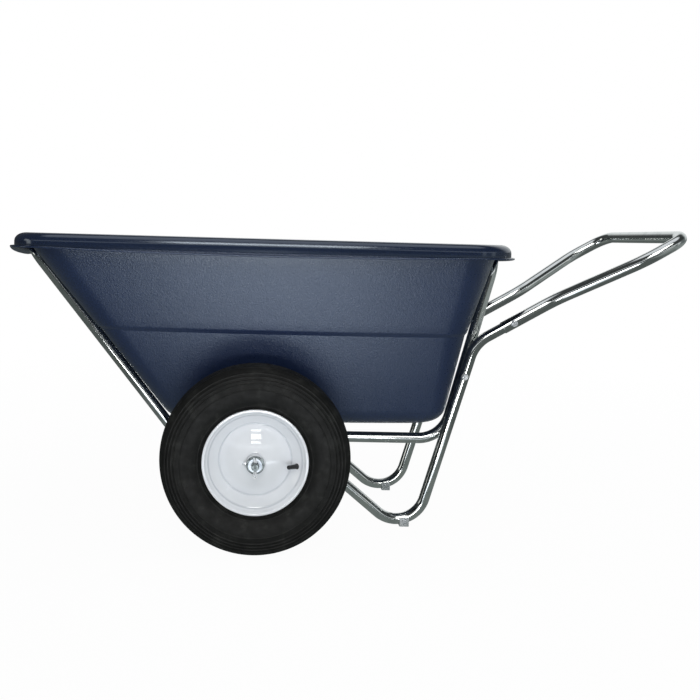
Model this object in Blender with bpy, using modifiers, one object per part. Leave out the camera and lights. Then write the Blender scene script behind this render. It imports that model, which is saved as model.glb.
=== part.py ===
"""Garden cart: a moulded tub hung on a bent-tube frame with two pneumatic wheels.

+X runs from the nose of the tub to the handle, -Y is the operator's left and +Z is up.
Heights are above the ground. Lengths along X are given from the axle, and the empty
"cart_frame" then moves the whole cart so that the origin lies under the middle of it.
"""

from math import atan, atan2, ceil, cos, hypot, pi, radians, sin, sqrt, tan

import bmesh
import bpy
import numpy as np
from mathutils import Matrix, Vector

# --- driving dimensions, in metres -------------------------------------------------------

AXLE_TO_MIDDLE = 0.200
AXLE_HEIGHT = 0.203
WHEEL_OFFSET = 0.330
GAP = 0.0003
MERGE = 0.00001

TUBE_RADIUS = 0.0127
TUBE_WALL = 0.0016
TUBE_SIDES = 8
BEND_STEP = radians(23)

# Tub: reaches are to the middle of each wall's outer face, at the height WALL_TOP.
TUB_WALL = 0.004
TUB_BOTTOM = 0.249
WALL_TOP = 0.640
# A wall is (reach, lean above the step, lean below it, depth of the step).
FRONT_WALL = (0.5175, 0.80, 0.77, 0.002)
REAR_WALL = (0.541, 0.29, 0.185, 0.002)
SIDE_WALL = (0.320, 0.274, 0.274, 0.004)
STEP_HEIGHT, STEP_RISE = 0.465, 0.007
FLOOR_FILLET = 0.048
FLOOR_RISES = (0.0, 0.004, 0.014, 0.034)
WALL_CORNER, CORNER_GROWTH = 0.046, 0.11
END_BOW, SIDE_BOW = 0.015, 0.014
BEAD_FRONT, BEAD_REAR, BEAD_SIDE = 0.564, 0.581, 0.346
BEAD_CORNER, BEAD_END_BOW, BEAD_SIDE_BOW = 0.095, 0.030, 0.015
FRONT_DROOP, REAR_DROOP, SIDE_DROOP = 0.0225, 0.010, 0.007
# The droop of an end falls off almost straight towards its corners, by this power.
DROOP_POWER = 1.2
# Rim section: share of the way from wall to bead, height, and share of the droop.
RIM_SECTION = (
    (0.00, 0.654, 0), (0.16, 0.666, 0), (0.80, 0.666, 0), (1.00, 0.656, 0), (1.02, 0.645, 1),
    (1.32, 0.640, 1),
)
END_STEPS, CORNER_STEPS, SIDE_STEPS = 3, 4, 2

# Hoops: one tube each, with its two rails at axle height.
RAIL_OFFSET = 0.117
HOOP_TOP = 0.6525
HOOP_CORNER = 0.064
RAIL_BEND = 0.075
FRONT_STAY = (-0.5285, 0.629, -0.80)
REAR_POST = (0.547, 0.588, 0.26)
RAIL_JOINT = 0.110
SPIGOT_LENGTH, SPIGOT_RADIUS, SPIGOT_SHOULDER = 0.060, 0.0099, 0.003

# Leg tubes, outboard of the rails, and the handle that slides over their stems.
LEG_OFFSET = 0.143
LEG_FRONT_BOLT = 0.0837
STAY_ANGLE = radians(39.5)
LEG_LINE = (0.4715, 0.3006, 0.29)
GROUND_BEND, STEM_BEND = 0.0690, 0.085
FLAT_LENGTH, FLAT_BLEND, FLAT_HALF_WIDTH, FLAT_HALF_THICKNESS = 0.030, 0.042, 0.0185, 0.0021
LEG_END = 0.015
HANDLE_RADIUS, HANDLE_WALL = 0.0143, 0.0015
HANDLE_POINT, HANDLE_SLOPE = (0.6259, 0.5028), 0.575
HANDLE_START, STEM_LENGTH, STEM_RADIUS, STEM_SHOULDER = 0.5766, 0.040, 0.0115, 0.003
# Handle corners: distance from the axle, half-width, bend radius.
HANDLE_CORNERS = ((0.700, 0.143, 0.16), (0.873, 0.228, 0.16), (0.967, 0.2215, 0.046))

# Feet.
FOOT_X, FOOT_LENGTH, FOOT_HEIGHT = 0.355, 0.022, 0.0215
FOOT_PLATE, FOOT_FLOOR, FOOT_CLEARANCE = 0.002, 0.0025, 0.0004
FOOT_BOLT_HEIGHT, FOOT_BOLT_RADIUS = 0.0140, 0.0025

# The frame's main bolts: shank, head, flange and nut, and the thread that stands past the nut.
BOLT_RADIUS, BOLT_CLEARANCE = 0.004, 0.0004
HEX_HALF, HEAD_HEIGHT, FLANGE_RADIUS, FLANGE_HEIGHT = 0.0065, 0.0052, 0.0083, 0.0018
NUT_HEIGHT, THREAD_PAST_NUT = 0.0065, 0.004
FOOT_BOLT_SIZE = 0.6
# Cutters run past the metal they drill.
HOLE_PAST, AXLE_HOLE_LENGTH, PIN_HOLE_LENGTH, VALVE_HOLE_LENGTH = 0.008, 0.040, 0.030, 0.012
REAR_BOLT = (0.487, 0.3585)
HANDLE_BOLT = 0.599

# Axle and what is on it, measured out from the middle of a wheel where not said otherwise.
AXLE_RADIUS, AXLE_END, AXLE_CHAMFER = 0.0079, 0.405, 0.0012
HUB_RADIUS, HUB_BORE, HUB_HALF = 0.0190, 0.0172, 0.054
BEARING_LENGTH, BEARING_FLANGE = 0.012, 0.003
WASHER_RADIUS, WASHER_THICKNESS = 0.0150, 0.0025
SLEEVE_RADIUS = 0.0110
# Split pin: how far out it stands, where its eye hangs and where its two leg ends rise to.
PIN_RADIUS, PIN_EYE, PIN_OFFSET = 0.0015, 0.0040, 0.0665
PIN_DROP, PIN_RISE, PIN_SPLAY = 0.0200, 0.0105, 0.0018
PIN_OPENING, PIN_EYE_STEPS = radians(30), 7

# Wheel sections as (radius, distance out from the wheel's middle).
RIM_THICKNESS = 0.002
RIM_OUTER = (
    (0.1120, 0.0370), (0.1114, 0.0398), (0.1080, 0.0408), (0.1035, 0.0345), (0.0985, 0.0290),
    (0.0770, 0.0085), (0.0735, 0.0095), (0.0520, 0.0250), (0.0197, 0.0335),
)
TYRE_OUTER = (
    (0.1050, 0.0315), (0.1150, 0.0350), (0.1280, 0.0470), (0.1560, 0.0520), (0.1830, 0.0455),
    (0.1975, 0.0320),
)
TYRE_INNER_CROWN = 0.1970
TYRE_INNER = ((0.1050, 0.0245), (0.1200, 0.0330), (0.1420, 0.0455), (0.1810, 0.0395))
AIR_TUBE_CROWN, AIR_TUBE_ROOT, AIR_TUBE_WALL = 0.1925, 0.0885, 0.0016
AIR_TUBE = ((0.0915, 0.0090), (0.1130, 0.0235), (0.1400, 0.0420), (0.1740, 0.0395))
VALVE_SEAT, VALVE_TURN = (0.0885, 0.0190), radians(-7)
VALVE_RADIUS, VALVE_LENGTH, VALVE_PAD, PAD_HEIGHT = 0.0050, 0.0215, 0.0075, 0.0015
VALVE_NECK, VALVE_TIP, VALVE_TAPER = 0.0043, 0.0038, (0.0020, 0.0060)
CAP_HEIGHT, CAP_RADIUS, CAP_TOP, CAP_EDGE = 0.0055, 0.0044, 0.0036, 0.0010
# From the valve's seat to where its stem enters the air tube.
STEM_ROOT = (0.008, -0.006)
GREASE_OUT, GREASE_SHANK = 0.0455, 0.0028
# Grease fitting: height above the hub, radius, and sides, where 6 is its hexagon.
GREASE_SECTION = (
    (-0.0016, 0.0028, 0), (0.0003, 0.0028, 0), (0.0003, 0.0036, 6), (0.0032, 0.0036, 6),
    (0.0034, 0.0022, 0), (0.0060, 0.0022, 0), (0.0072, 0.0030, 0), (0.0085, 0.0018, 0),
)
TYRE_SEGMENTS, RIM_SEGMENTS, HUB_SEGMENTS, SMALL_SEGMENTS = 32, 20, 16, 12
TYRE_CROWN = AXLE_HEIGHT / cos(pi / TYRE_SEGMENTS)

FINISHES = {
    "navy": ((0.035, 0.048, 0.090), 0.55, 0.0),
    "zinc": ((0.62, 0.64, 0.65), 0.22, 1.0),
    "pale_zinc": ((0.72, 0.74, 0.76), 0.35, 1.0),
    "steel": ((0.45, 0.46, 0.47), 0.35, 1.0),
    "white": ((0.80, 0.82, 0.88), 0.18, 0.0),
    "rubber": ((0.018, 0.018, 0.018), 0.75, 0.0),
}
SIDES = {"left": -1, "right": 1}


# --- scene helpers ------------------------------------------------------------------------

def clear_scene():
    for item in list(bpy.data.objects):
        bpy.data.objects.remove(item, do_unlink=True)


def new_collection(name):
    collection = bpy.data.collections.new(name)
    bpy.context.scene.collection.children.link(collection)
    return collection


clear_scene()
PARTS = new_collection("garden_cart")
CUTTERS = new_collection("garden_cart_cutters")


def add_empty(name, location, turn=0.0, parent=None):
    empty = bpy.data.objects.new(name, None)
    empty.location = location
    empty.rotation_euler = (turn, 0, 0)
    empty.parent = parent
    PARTS.objects.link(empty)
    return empty


def add_piece(name, mesh, finish, parent, location=(0, 0, 0), rotation=(0, 0, 0)):
    """A sub-part: one object with a material of its own."""
    piece = bpy.data.objects.new(name, mesh)
    piece.location = location
    piece.rotation_euler = rotation
    piece.parent = parent
    PARTS.objects.link(piece)
    colour, roughness, metallic = FINISHES[finish]
    material = bpy.data.materials.new(name + "_" + finish)
    material.use_nodes = True
    shader = material.node_tree.nodes["Principled BSDF"]
    shader.inputs["Base Color"].default_value = (*colour, 1)
    shader.inputs["Roughness"].default_value = roughness
    shader.inputs["Metallic"].default_value = metallic
    piece.data.materials.clear()
    piece.data.materials.append(material)
    return piece


def smooth(mesh, angle=35):
    mesh.shade_smooth()
    mesh.set_sharp_from_angle(angle=radians(angle))


def add_cutter(name, radius, length, parent, location, rotation):
    """A cylinder along its own Z, kept out of the render and only there to cut holes."""
    mesh = bpy.data.meshes.new(name)
    form = bmesh.new()
    bmesh.ops.create_cone(form, cap_ends=True, segments=SMALL_SEGMENTS, radius1=radius,
                          radius2=radius, depth=length)
    form.to_mesh(mesh)
    form.free()
    cutter = bpy.data.objects.new(name, mesh)
    cutter.location = location
    cutter.rotation_euler = rotation
    cutter.parent = parent
    cutter.hide_render = True
    cutter.display_type = "WIRE"
    CUTTERS.objects.link(cutter)
    return cutter


def cut(piece, cutter):
    hole = piece.modifiers.new(cutter.name, "BOOLEAN")
    hole.operation = "DIFFERENCE"
    hole.object = cutter


# --- shape helpers ------------------------------------------------------------------------

def loft(name, rings, cap=False, loop=False):
    """A mesh through rings of equally many points; cap closes both ends, loop joins them."""
    count = len(rings[0])
    points = [point for ring in rings for point in ring]
    faces = []
    pairs = len(rings) if loop else len(rings) - 1
    for row in range(pairs):
        low = row * count
        high = (row + 1) % len(rings) * count
        for k in range(count):
            nxt = (k + 1) % count
            faces.append((low + k, low + nxt, high + nxt, high + k))
    if cap:
        faces.append(tuple(reversed(range(count))))
        faces.append(tuple(range((len(rings) - 1) * count, len(rings) * count)))
    mesh = bpy.data.meshes.new(name)
    mesh.from_pydata(points, [], faces)
    smooth(mesh)
    return mesh


def stack(name, levels, loop=False):
    """A loft of level rings (height, radius, sides), where 6 sides is a hexagon and 0 is round."""
    rings = []
    for height, radius, sides in levels:
        ring = []
        for k in range(12):
            angle = k * pi / 6
            reach = radius
            if sides == 6:
                reach = radius / cos((angle % (pi / 3)) - pi / 6)
            ring.append((reach * cos(angle), reach * sin(angle), height))
        rings.append(ring)
    return loft(name, rings, cap=not loop, loop=loop)


def turned(name, profile, segments, finish, parent, location=(0, 0, 0), rotation=(0, 0, 0)):
    """A (radius, height) outline turned round local Z, running down its outer side.

    An outline that starts on the axis also ends there; any other is closed into a ring.
    """
    mesh = bpy.data.meshes.new(name)
    points = [(radius, 0, height) for radius, height in profile]
    edges = [(k, k + 1) for k in range(len(points) - 1)]
    if profile[0][0] > 0:
        edges.append((len(points) - 1, 0))
    mesh.from_pydata(points, edges, [])
    piece = add_piece(name, mesh, finish, parent, location, rotation)
    turn = piece.modifiers.new("turn", "SCREW")
    turn.axis = "Z"
    turn.angle = 2 * pi
    turn.steps = segments
    turn.render_steps = segments
    turn.use_merge_vertices = True
    turn.merge_threshold = MERGE
    turn.use_smooth_shade = True
    return piece


def ring_profile(inner, outer, low, high):
    return ((outer, high), (outer, low), (inner, low), (inner, high))


def bent_path(corners):
    """Points along a tube's centre line, from corners (place, bend radius)."""
    points = [Vector(corners[0][0])]
    for k in range(1, len(corners) - 1):
        corner, radius = Vector(corners[k][0]), corners[k][1]
        back = (Vector(corners[k - 1][0]) - corner).normalized()
        ahead = (Vector(corners[k + 1][0]) - corner).normalized()
        if radius == 0:
            points.append(corner)
            continue
        turn = pi - back.angle(ahead)
        start = corner + back * radius * tan(turn / 2)
        centre = corner + (back + ahead).normalized() * radius / cos(turn / 2)
        axis = back.cross(ahead)
        steps = ceil(turn / BEND_STEP)
        for step in range(steps + 1):
            swing = Matrix.Rotation(-turn * step / steps, 3, axis)
            points.append(centre + swing @ (start - centre))
    points.append(Vector(corners[-1][0]))
    return points


def swept_tube(name, path, radius, wall=None, scales=None):
    """A round tube's mesh along a path: an open skin, or a solid wire where wall is None."""
    curve = bpy.data.curves.new(name + "_line", "CURVE")
    curve.dimensions = "3D"
    curve.bevel_depth = radius
    curve.bevel_resolution = TUBE_SIDES // 2 - 2 if wall else 2
    curve.use_fill_caps = wall is None
    spline = curve.splines.new("POLY")
    spline.points.add(len(path) - 1)
    for k, place in enumerate(path):
        spline.points[k].co = (*place, 1)
        spline.points[k].radius = scales[k] if scales else 1
    holder = bpy.data.objects.new(name + "_line", curve)
    PARTS.objects.link(holder)
    depsgraph = bpy.context.evaluated_depsgraph_get()
    mesh = bpy.data.meshes.new_from_object(holder.evaluated_get(depsgraph))
    bpy.data.objects.remove(holder, do_unlink=True)
    form = bmesh.new()
    form.from_mesh(mesh)
    bmesh.ops.remove_doubles(form, verts=form.verts, dist=MERGE)
    form.to_mesh(mesh)
    form.free()
    mesh.name = name
    smooth(mesh)
    return mesh


def thicken(piece, thickness):
    """Turn an open skin into a wall that lies behind the skin."""
    wall = piece.modifiers.new("wall", "SOLIDIFY")
    wall.thickness = thickness
    wall.offset = -1
    wall.use_even_offset = True
    return wall


def crossing(line, other):
    """Where two lines (x, z, dx/dz) cross, in side view."""
    x1, z1, lean1 = line
    x2, z2, lean2 = other
    z = (x2 - x1 + lean1 * z1 - lean2 * z2) / (lean1 - lean2)
    return x1 + lean1 * (z - z1), z


def on_line(line, z):
    return line[0] + line[2] * (z - line[1])


def handle_height(x):
    return HANDLE_POINT[1] + HANDLE_SLOPE * (x - HANDLE_POINT[0])


# --- tub ----------------------------------------------------------------------------------

def wall_reach(z, wall):
    """How far a wall's outer face lies out at height z, with its step and its floor fillet."""
    top_reach, upper_lean, lower_lean, step = wall
    if z > STEP_HEIGHT:
        return top_reach - upper_lean * (WALL_TOP - z)
    below_step = top_reach - upper_lean * (WALL_TOP - STEP_HEIGHT) - step
    rise = z - TUB_BOTTOM
    turn = atan2(1, lower_lean)
    if rise > FLOOR_FILLET * (1 - cos(turn)):
        return below_step - lower_lean * (STEP_HEIGHT - z)
    foot = below_step - lower_lean * (STEP_HEIGHT - TUB_BOTTOM)
    start = foot - FLOOR_FILLET * tan(turn / 2)
    return start + sqrt(FLOOR_FILLET ** 2 - (FLOOR_FILLET - rise) ** 2)


def quarter_outline(length, width, corner, end_turn, side_turn):
    """A quarter of a bowed rectangle with round corners, as (x, y, end share, side share).

    The end and side are arcs through end_turn and side_turn, tangent to the corner arc. The
    shares fall from 1 at the middle of the end or side to 0 at the corner.
    """
    sums = np.array([[1 - cos(end_turn), sin(side_turn)], [sin(end_turn), 1 - cos(side_turn)]])
    rest = np.array([length - corner * (cos(end_turn) - sin(side_turn)),
                     width - corner * (cos(side_turn) - sin(end_turn))])
    end_radius, side_radius = np.linalg.solve(sums, rest)
    arcs = (
        (end_radius, pi / 2, pi / 2 + end_turn, END_STEPS),
        (corner, pi / 2 + end_turn, pi - side_turn, CORNER_STEPS),
        (side_radius, pi - side_turn, pi, SIDE_STEPS),
    )
    x, y = length, 0.0
    points = [(x, y, 1.0, 0.0)]
    for index, (radius, start, stop, steps) in enumerate(arcs):
        for k in range(steps):
            heading = start + (stop - start) * k / steps
            after = start + (stop - start) * (k + 1) / steps
            x += radius * (sin(after) - sin(heading))
            y += radius * (cos(heading) - cos(after))
            share = (k + 1) / steps
            end_share = 1 - share ** DROOP_POWER if index == 0 else 0.0
            side_share = 1 - (1 - share) ** 2 if index == 2 else 0.0
            points.append((x, y, end_share, side_share))
    return points


def tub_ring(z, front, rear, side, corner, end_bow, side_bow, droop):
    """One ring round the tub, anticlockwise from the middle of the rear end."""
    length = (front + rear) / 2
    middle = (rear - front) / 2
    end_turn = 2 * atan(end_bow / (side - corner))
    side_turn = 2 * atan(side_bow / (length - corner))
    quarter = quarter_outline(length, side, corner, end_turn, side_turn)
    ring = []
    for x_sign, y_sign in ((1, 1), (-1, 1), (-1, -1), (1, -1)):
        points = quarter if x_sign == y_sign else list(reversed(quarter))
        end_droop = REAR_DROOP if x_sign > 0 else FRONT_DROOP
        for x, y, end_share, side_share in points[:-1]:
            fall = droop * (end_share * end_droop + side_share * SIDE_DROOP)
            ring.append((middle + x_sign * x, y_sign * y, z - fall))
    return ring


def wall_ring(z):
    corner = WALL_CORNER + CORNER_GROWTH * (z - TUB_BOTTOM)
    reaches = [wall_reach(z, wall) for wall in (FRONT_WALL, REAR_WALL, SIDE_WALL)]
    return tub_ring(z, *reaches, corner, END_BOW, SIDE_BOW, 0)


def rim_ring(share, z, droop):
    """A ring of the rim, a share of the way from the wall's top to the bead's inner face."""
    wall = (FRONT_WALL[0], REAR_WALL[0], SIDE_WALL[0],
            WALL_CORNER + CORNER_GROWTH * (WALL_TOP - TUB_BOTTOM), END_BOW, SIDE_BOW)
    bead = (BEAD_FRONT, BEAD_REAR, BEAD_SIDE, BEAD_CORNER, BEAD_END_BOW, BEAD_SIDE_BOW)
    sizes = [a + (b - a) * share for a, b in zip(wall, bead)]
    return tub_ring(z, *sizes, droop)


def build_tub(cart):
    heights = [TUB_BOTTOM + rise for rise in FLOOR_RISES]
    heights += [STEP_HEIGHT - STEP_RISE / 2, STEP_HEIGHT + STEP_RISE / 2, WALL_TOP]
    rings = [wall_ring(z) for z in heights]
    rings += [rim_ring(*level) for level in RIM_SECTION]
    mesh = loft("tub", rings)
    form = bmesh.new()
    form.from_mesh(mesh)
    form.verts.ensure_lookup_table()
    form.faces.new([form.verts[k] for k in reversed(range(len(rings[0])))])
    form.to_mesh(mesh)
    form.free()
    tub = add_piece("tub", mesh, "navy", cart)
    thicken(tub, TUB_WALL)


# --- frame tubes --------------------------------------------------------------------------

def hoop_path(rail_end, line):
    """From one rail end, along the rail, up the stay, across under the rim and back down."""
    foot = (on_line(line, AXLE_HEIGHT), AXLE_HEIGHT)
    head = (on_line(line, HOOP_TOP), HOOP_TOP)
    left = [
        ((rail_end, -RAIL_OFFSET, AXLE_HEIGHT), 0),
        ((foot[0], -RAIL_OFFSET, foot[1]), RAIL_BEND),
        ((head[0], -RAIL_OFFSET, head[1]), HOOP_CORNER),
    ]
    right = [((x, -y, z), bend) for (x, y, z), bend in reversed(left)]
    return left + right


def build_hoops(cart):
    front = add_piece("front_hoop", swept_tube(
        "front_hoop", bent_path(hoop_path(RAIL_JOINT, FRONT_STAY)), TUBE_RADIUS, TUBE_WALL),
        "zinc", cart)
    thicken(front, TUBE_WALL)

    corners = hoop_path(RAIL_JOINT - SPIGOT_LENGTH, REAR_POST)
    shoulder = RAIL_JOINT + SPIGOT_SHOULDER
    step_in = RAIL_JOINT - GAP
    for at, y in ((1, -RAIL_OFFSET), (len(corners) + 1, RAIL_OFFSET)):
        order = (step_in, shoulder) if y < 0 else (shoulder, step_in)
        corners[at:at] = [((x, y, AXLE_HEIGHT), 0) for x in order]
    path = bent_path(corners)
    scales = [SPIGOT_RADIUS / TUBE_RADIUS if p.x < RAIL_JOINT else 1 for p in path]
    rear = add_piece("rear_hoop", swept_tube("rear_hoop", path, TUBE_RADIUS, TUBE_WALL, scales),
                     "zinc", cart)
    thicken(rear, TUBE_WALL)
    return front, rear


def leg_section(travelled, left_over):
    """Half-width in side view, half-width across, and offset, at a place along a leg tube."""
    blend = min(max((travelled - FLAT_LENGTH) / FLAT_BLEND, 0), 1)
    blend = blend * blend * (3 - 2 * blend)
    tall = FLAT_HALF_WIDTH + (TUBE_RADIUS - FLAT_HALF_WIDTH) * blend
    across = FLAT_HALF_THICKNESS + (TUBE_RADIUS - FLAT_HALF_THICKNESS) * blend
    if left_over < STEM_LENGTH + GAP:
        tall = across = STEM_RADIUS
    return tall, across, LEG_OFFSET - TUBE_RADIUS + max(across, TUBE_RADIUS * (blend == 1))


def leg_path():
    """The leg tube's centre line in side view, from its flattened end to the end of its stem."""
    stay_line = (LEG_FRONT_BOLT, AXLE_HEIGHT, -1 / tan(STAY_ANGLE))
    handle_line = (*HANDLE_POINT, 1 / HANDLE_SLOPE)
    ground = crossing(stay_line, LEG_LINE)
    elbow = crossing(LEG_LINE, handle_line)
    run = cos(atan(HANDLE_SLOPE))
    along_stay = (0, FLAT_LENGTH, FLAT_LENGTH + FLAT_BLEND * 0.35, FLAT_LENGTH + FLAT_BLEND * 0.7,
                  FLAT_LENGTH + FLAT_BLEND)
    corners = []
    for distance in along_stay:
        x = LEG_FRONT_BOLT + (distance - LEG_END) * cos(STAY_ANGLE)
        z = AXLE_HEIGHT - (distance - LEG_END) * sin(STAY_ANGLE)
        corners.append(((x, 0, z), 0))
    corners.append(((ground[0], 0, ground[1]), GROUND_BEND))
    corners.append(((elbow[0], 0, elbow[1]), STEM_BEND))
    for distance in (-STEM_SHOULDER, GAP, STEM_LENGTH):
        x = HANDLE_START + distance * run
        corners.append(((x, 0, handle_height(x)), 0))
    return bent_path(corners)


def build_leg(name, side, cart):
    path = leg_path()
    lengths = [0.0]
    for before, after in zip(path, path[1:]):
        lengths.append(lengths[-1] + (after - before).length)
    rings = []
    for k, place in enumerate(path):
        heading = (path[min(k + 1, len(path) - 1)] - path[max(k - 1, 0)]).normalized()
        normal = Vector((-heading.z, 0, heading.x))
        tall, across, offset = leg_section(lengths[k], lengths[-1] - lengths[k])
        ring = []
        for step in range(TUBE_SIDES):
            angle = -2 * pi * step / TUBE_SIDES
            point = place + normal * tall * cos(angle)
            point.y = side * offset + across * sin(angle)
            ring.append(tuple(point))
        rings.append(ring)
    leg = add_piece(name, loft(name, rings), "zinc", cart)
    thicken(leg, TUBE_WALL)
    return leg


def build_handle(cart):
    start = ((HANDLE_START, -LEG_OFFSET, handle_height(HANDLE_START)), 0)
    left = [start] + [((x, -y, handle_height(x)), bend) for x, y, bend in HANDLE_CORNERS]
    right = [((x, -y, z), bend) for (x, y, z), bend in reversed(left)]
    mesh = swept_tube("handle_loop", bent_path(left + right), HANDLE_RADIUS, HANDLE_WALL)
    handle = add_piece("handle_loop", mesh, "zinc", cart)
    thicken(handle, HANDLE_WALL)
    return handle


# --- fasteners and feet -------------------------------------------------------------------

def build_bolt(name, x, z, outer, inner, side, cart, radius=BOLT_RADIUS, size=1.0):
    """A flanged hex bolt from the outer face, through to a nut on the inner face."""
    turn = -side * pi / 2
    grip = outer - inner
    nut_height = NUT_HEIGHT * size
    flange = FLANGE_HEIGHT * size
    head = HEAD_HEIGHT * size
    hex_half = HEX_HALF * size
    tip = -(grip + nut_height + 3 * GAP + THREAD_PAST_NUT * size)
    bolt_mesh = stack(name + "_bolt", (
        (tip, radius, 0), (0, radius, 0), (0, FLANGE_RADIUS * size, 0),
        (flange, FLANGE_RADIUS * size * 0.92, 0), (flange, hex_half, 6), (flange + head, hex_half, 6),
    ))
    bolt = add_piece(name + "_bolt", bolt_mesh, "pale_zinc", cart,
                     (x, side * (outer + GAP), z), (turn, 0, 0))
    bore = radius + BOLT_CLEARANCE
    nut_mesh = stack(name + "_nut", (
        (-nut_height, hex_half, 6), (0, hex_half, 6), (0, bore, 0), (-nut_height, bore, 0),
    ), loop=True)
    nut = add_piece(name + "_nut", nut_mesh, "pale_zinc", cart,
                    (x, side * (inner - GAP), z), (turn, 0, 0))
    cutter = add_cutter(name + "_hole", bore, grip + HOLE_PAST, cart,
                        (x, side * (outer + inner) / 2, z), (pi / 2, 0, 0))
    return bolt, nut, cutter


def build_foot(name, side, cart):
    """A U-shaped zinc shoe round the ground bend, with a level sole."""
    half = TUBE_RADIUS + FOOT_CLEARANCE + FOOT_PLATE
    inside = TUBE_RADIUS + FOOT_CLEARANCE
    outline = ((-half, 0), (half, 0), (half, FOOT_HEIGHT), (inside, FOOT_HEIGHT),
               (inside, FOOT_FLOOR), (-inside, FOOT_FLOOR), (-inside, FOOT_HEIGHT),
               (-half, FOOT_HEIGHT))
    mesh = bpy.data.meshes.new(name)
    mesh.from_pydata([(0, y, z) for y, z in outline], [], [tuple(range(len(outline)))])
    foot = add_piece(name, mesh, "pale_zinc", cart, (FOOT_X, side * LEG_OFFSET, 0))
    plate = foot.modifiers.new("length", "SOLIDIFY")
    plate.thickness = FOOT_LENGTH
    plate.offset = 0
    return foot, half


def build_frame(cart):
    front_hoop, rear_hoop = build_hoops(cart)
    handle = build_handle(cart)
    for axle_end in SIDES.values():
        cut(front_hoop, add_cutter("axle_hole_%d" % axle_end, AXLE_RADIUS + 2 * GAP, AXLE_HOLE_LENGTH, cart,
                                   (0, axle_end * RAIL_OFFSET, AXLE_HEIGHT), (pi / 2, 0, 0)))
    rail_inside = RAIL_OFFSET - TUBE_RADIUS
    leg_outside = LEG_OFFSET + TUBE_RADIUS
    flat_outside = LEG_OFFSET - TUBE_RADIUS + 2 * FLAT_HALF_THICKNESS
    for word, side in SIDES.items():
        leg = build_leg(word + "_leg_tube", side, cart)
        hole = build_bolt(word + "_leg_front", LEG_FRONT_BOLT, AXLE_HEIGHT, flat_outside,
                          rail_inside, side, cart)[2]
        for piece in (leg, front_hoop, rear_hoop):
            cut(piece, hole)
        hole = build_bolt(word + "_leg_rear", *REAR_BOLT, leg_outside, rail_inside, side, cart)[2]
        for piece in (leg, rear_hoop):
            cut(piece, hole)
        hole = build_bolt(word + "_handle", HANDLE_BOLT, handle_height(HANDLE_BOLT),
                          LEG_OFFSET + HANDLE_RADIUS, LEG_OFFSET - HANDLE_RADIUS, side, cart)[2]
        for piece in (leg, handle):
            cut(piece, hole)
        foot, half = build_foot(word + "_foot_shoe", side, cart)
        hole = build_bolt(word + "_foot", FOOT_X, FOOT_BOLT_HEIGHT, LEG_OFFSET + half,
                          LEG_OFFSET - half, side, cart, FOOT_BOLT_RADIUS, FOOT_BOLT_SIZE)[2]
        for piece in (leg, foot):
            cut(piece, hole)


# --- axle and wheels ----------------------------------------------------------------------

def build_axle(cart):
    tip, edge = AXLE_END, AXLE_END - AXLE_CHAMFER
    neck = AXLE_RADIUS - AXLE_CHAMFER
    profile = ((0.0, tip), (neck, tip), (AXLE_RADIUS, edge), (AXLE_RADIUS, -edge), (neck, -tip),
               (0.0, -tip))
    axle = turned("axle", profile, SMALL_SEGMENTS, "steel", cart, (0, 0, AXLE_HEIGHT),
                  (pi / 2, 0, 0))
    for word, side in SIDES.items():
        cut(axle, add_cutter(word + "_pin_hole", PIN_RADIUS * 2 + GAP, PIN_HOLE_LENGTH, cart,
                             (0, side * (WHEEL_OFFSET + PIN_OFFSET), AXLE_HEIGHT), (0, 0, 0)))


def pin_path():
    """A split pin's centre line: up one leg, down the other and round the eye below."""
    half = PIN_RADIUS + 0.3 * GAP
    bend = AXLE_RADIUS + PIN_RISE / 4
    points = [(-half - PIN_SPLAY, 0, AXLE_RADIUS + PIN_RISE), (-half, 0, bend)]
    points.append((-half, 0, PIN_EYE - PIN_DROP))
    for k in range(PIN_EYE_STEPS + 1):
        angle = pi / 2 + PIN_OPENING + 2 * (pi - PIN_OPENING) * k / PIN_EYE_STEPS
        points.append((PIN_EYE * cos(angle), 0, PIN_EYE * sin(angle) - PIN_DROP))
    points.append((half, 0, PIN_EYE - PIN_DROP))
    points.append((half, 0, bend))
    points.append((half + PIN_SPLAY, 0, AXLE_RADIUS + PIN_RISE * 0.9))
    return [Vector(point) for point in points]


def build_axle_hardware(word, cart):
    """Washers, the spacer sleeve and the split pin, on the fixed axle beside one wheel."""
    bore = AXLE_RADIUS + GAP
    end = HUB_HALF + BEARING_FLANGE + GAP
    axle_spot = (0, SIDES[word] * WHEEL_OFFSET, AXLE_HEIGHT)
    turn = (-SIDES[word] * pi / 2, 0, 0)
    washer = ring_profile(bore, WASHER_RADIUS, end, end + WASHER_THICKNESS)
    turned(word + "_outer_washer", washer, SMALL_SEGMENTS, "pale_zinc", cart, axle_spot, turn)
    washer = ring_profile(bore, WASHER_RADIUS, -end - WASHER_THICKNESS, -end)
    turned(word + "_inner_washer", washer, SMALL_SEGMENTS, "pale_zinc", cart, axle_spot, turn)
    rail_face = RAIL_OFFSET + TUBE_RADIUS + GAP - WHEEL_OFFSET
    sleeve = ring_profile(bore, SLEEVE_RADIUS, rail_face, -end - WASHER_THICKNESS - GAP)
    turned(word + "_axle_sleeve", sleeve, SMALL_SEGMENTS, "zinc", cart, axle_spot, turn)
    mesh = swept_tube(word + "_split_pin", pin_path(), PIN_RADIUS)
    add_piece(word + "_split_pin", mesh, "pale_zinc", cart,
              (0, SIDES[word] * (WHEEL_OFFSET + PIN_OFFSET), AXLE_HEIGHT))


def sheet_profile(points, thickness):
    """A closed outline round a sheet section, with the sheet lying behind the given points."""
    behind = []
    for k, (r, s) in enumerate(points):
        before = points[max(k - 1, 0)]
        after = points[min(k + 1, len(points) - 1)]
        run = (after[0] - before[0], after[1] - before[1])
        length = hypot(*run)
        behind.append((r - run[1] / length * thickness, s + run[0] / length * thickness))
    return tuple(points) + tuple(reversed(behind))


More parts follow.
